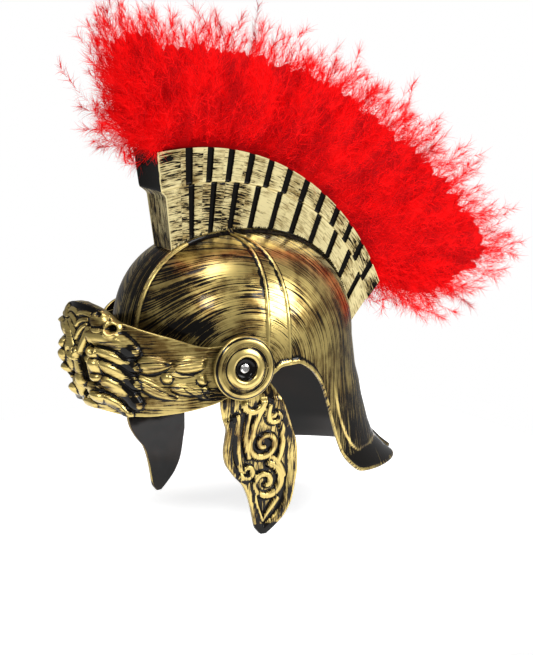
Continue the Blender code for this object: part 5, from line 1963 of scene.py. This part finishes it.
            wave = dice.normal(0.0, 0.07 + 0.05 * share, (stems, barbs, 3))
            direction = unit(np.cos(angle)[..., None] * ahead + np.sin(angle)[..., None] * side + wave)
            line.append(line[-1] + direction * (long / joints)[..., None])
        line = self.hold_in(np.stack(line, axis=2))
        face = unit(np.cross(dice.normal(0.0, 1.0, (stems, barbs, 3)), side))
        half = dice.uniform(*self.barb_half, (stems, barbs))
        taper = np.linspace(1.0, self.barb_tip, joints + 1)
        edge = face[:, :, None, :] * (half[..., None] * taper)[..., None]
        strip = np.stack((line - edge, line + edge), axis=3)
        mesh = self.blank_barbs(stems * barbs)
        mesh.vertices.foreach_set("co", strip.astype(np.float32).ravel())
        # tone differs at random by stem and barb; painted shade darkens the barbs towards the stems' roots
        tone_and_light = dice.normal(0.0, 0.10, (stems, 1)) + dice.normal(0.0, 0.05, (stems, barbs)) + 0.10 * t
        brush = np.zeros((stems, barbs, joints + 1, 2, 3))
        along = np.linspace(0.0, 1.0, joints + 1)[:, None]
        brush[..., 0] = along * 0.03
        brush[..., 1] = dice.random((stems, barbs))[:, :, None, None]
        # painted shade also darkens each barb towards its base
        brush[..., 2] = tone_and_light[:, :, None, None] + 0.10 * along
        layer = mesh.attributes.new("brush", "FLOAT_VECTOR", "POINT")
        layer.data.foreach_set("vector", brush.astype(np.float32).ravel())
        mesh.name = name
        mesh.shade_smooth()
        mesh.update()
        piece = bpy.data.objects.new(name, mesh)
        bpy.context.scene.collection.objects.link(piece)
        return piece

    def build(self) -> None:
        """Build and dress the plume."""
        down = DyedFeather("plume_down").make()
        core = self.core()
        # the core's down is a darker red, painted shade for the inside of the fan
        dress(core, DyedFeather("plume_core_shaded_down", bright=(0.72, 0.003, 0.003, 1.0)).make())
        settle(core, Body.SHELL, "feather_plume", "feather_plume")
        for number, offset in enumerate(self.coats):
            coat = self.coat(f"plume_coat_{number + 1}", offset, self.seed + number)
            dress(coat, down)
            settle(coat, Body.SHELL, "feather_plume")


@dataclass
class Studio:
    """The pale floor, the soft boxes and the camera."""

    azimuth: float = 55.0
    elevation: float = 12.0
    distance: float = 2.3855
    pixel: float = 0.00090648
    anchor: tuple = (0.103, -0.045, -0.104)
    anchor_pixel: tuple = (242.0, 368.0)
    centre_pixel: tuple = (266.5, 300.0)
    frame_size: tuple = (533.0, 655.0)
    sensor: float = 36.0
    floor_size: float = 0.45
    floor_gap: float = 0.012
    fill: float = 0.26
    lit: tuple = (0.0, 0.02, -0.05)
    boxes: tuple = (
        ("side_box", 126.0, 24.0, (1.0, 0.9), 27.0, 1.6),
        ("front_box", 48.0, 34.0, (0.5, 0.5), 11.0, 2.0),
        ("top_box", 20.0, 80.0, (0.8, 0.8), 11.0, 1.6),
    )

    def toward(self, azimuth: float, elevation: float) -> Vector:
        """Return the direction that lies some degrees round the helmet and above the horizon."""
        a, e = math.radians(azimuth), math.radians(elevation)
        return Vector((math.sin(a) * math.cos(e), -math.cos(a) * math.cos(e), math.sin(e)))

    def camera(self) -> None:
        """Place the camera where the photograph was taken from."""
        azimuth = math.radians(self.azimuth)
        back = self.toward(self.azimuth, self.elevation)
        right = Vector((math.cos(azimuth), math.sin(azimuth), 0.0))
        up = back.cross(right)
        across = (self.centre_pixel[0] - self.anchor_pixel[0]) * self.pixel
        rise = (self.anchor_pixel[1] - self.centre_pixel[1]) * self.pixel
        data = bpy.data.cameras.new("photo_camera")
        data.sensor_width = self.sensor
        data.lens = self.distance / self.pixel * self.sensor / self.frame_size[1]
        data.shift_y = (self.centre_pixel[1] - self.frame_size[1] / 2.0) / self.frame_size[1]
        data.clip_end = 50.0
        camera = bpy.data.objects.new("photo_camera", data)
        place = Vector(self.anchor) + back * self.distance + right * across + up * rise
        turn = Matrix((right, up, back)).transposed().to_4x4()
        camera.matrix_world = Matrix.Translation(place) @ turn
        bpy.context.scene.collection.objects.link(camera)
        bpy.context.scene.camera = camera

    def floor(self) -> None:
        """Lay the pale floor just under the lowest tip."""
        level = CAD_BOX[0][2] - self.floor_gap
        shape = open_shape()
        bmesh.ops.create_grid(shape, x_segments=4, y_segments=4, size=self.floor_size)
        bmesh.ops.translate(shape, verts=shape.verts, vec=(0.0, 0.0, level))
        floor = close_shape("pale_floor", shape, recalculate=False)
        dress(floor, PaleFloor("pale_paper").make())

    def box(
        self,
        name: str,
        azimuth: float,
        elevation: float,
        size: tuple,
        power: float,
        far: float,
    ) -> None:
        """Hang one soft box that faces the helmet.

        Args:
            name: Its name.
            azimuth: Degrees round the helmet, as the camera's.
            elevation: Degrees above the horizon.
            size: Width and height in metres.
            power: Its power in watts.
            far: Its distance.
        """
        toward = self.toward(azimuth, elevation)
        data = bpy.data.lights.new(name, "AREA")
        data.shape = "RECTANGLE"
        data.size, data.size_y = size
        data.energy = power
        light = bpy.data.objects.new(name, data)
        light.location = Vector(self.lit) + toward * far
        light.rotation_euler = toward.to_track_quat("Z", "Y").to_euler()
        light.visible_camera = False
        bpy.context.scene.collection.objects.link(light)

    def world(self) -> None:
        """Fill the room with even pale light."""
        world = bpy.data.worlds.new("pale_room")
        world.use_nodes = True
        tree = world.node_tree
        shade = tree.nodes["Background"]
        shade.inputs["Color"].default_value = (1.0, 1.0, 1.0, 1.0)
        shade.inputs["Strength"].default_value = self.fill
        backdrop = tree.nodes.new("ShaderNodeBackground")
        backdrop.inputs["Color"].default_value = (1.0, 1.0, 1.0, 1.0)
        path = tree.nodes.new("ShaderNodeLightPath")
        mix = tree.nodes.new("ShaderNodeMixShader")
        tree.links.new(path.outputs["Is Camera Ray"], mix.inputs[0])
        tree.links.new(shade.outputs[0], mix.inputs[1])
        tree.links.new(backdrop.outputs[0], mix.inputs[2])
        tree.links.new(mix.outputs[0], tree.nodes["World Output"].inputs[0])
        bpy.context.scene.world = world

    def build(self) -> None:
        """Set up the studio."""
        self.camera()
        self.floor()
        self.world()
        for box in self.boxes:
            self.box(*box)
        bpy.context.scene.view_settings.view_transform = "Standard"
        bpy.context.scene.view_settings.look = "None"


def main() -> None:
    """Build every sub-assembly, then the studio."""
    logging.basicConfig(level=logging.INFO, format="%(name)s: %(message)s")
    Studio().build()
    bowl = SkullBowl()
    crest = CrestHolder(bowl=bowl)
    bowl.build()
    crest.build()
    FeatherPlume(crest=crest).build()
    LionVisor().build()
    for side in Side:
        CheekGuard(side).build()
        PivotBoss(side).build()


if __name__ == "__main__":
    main()
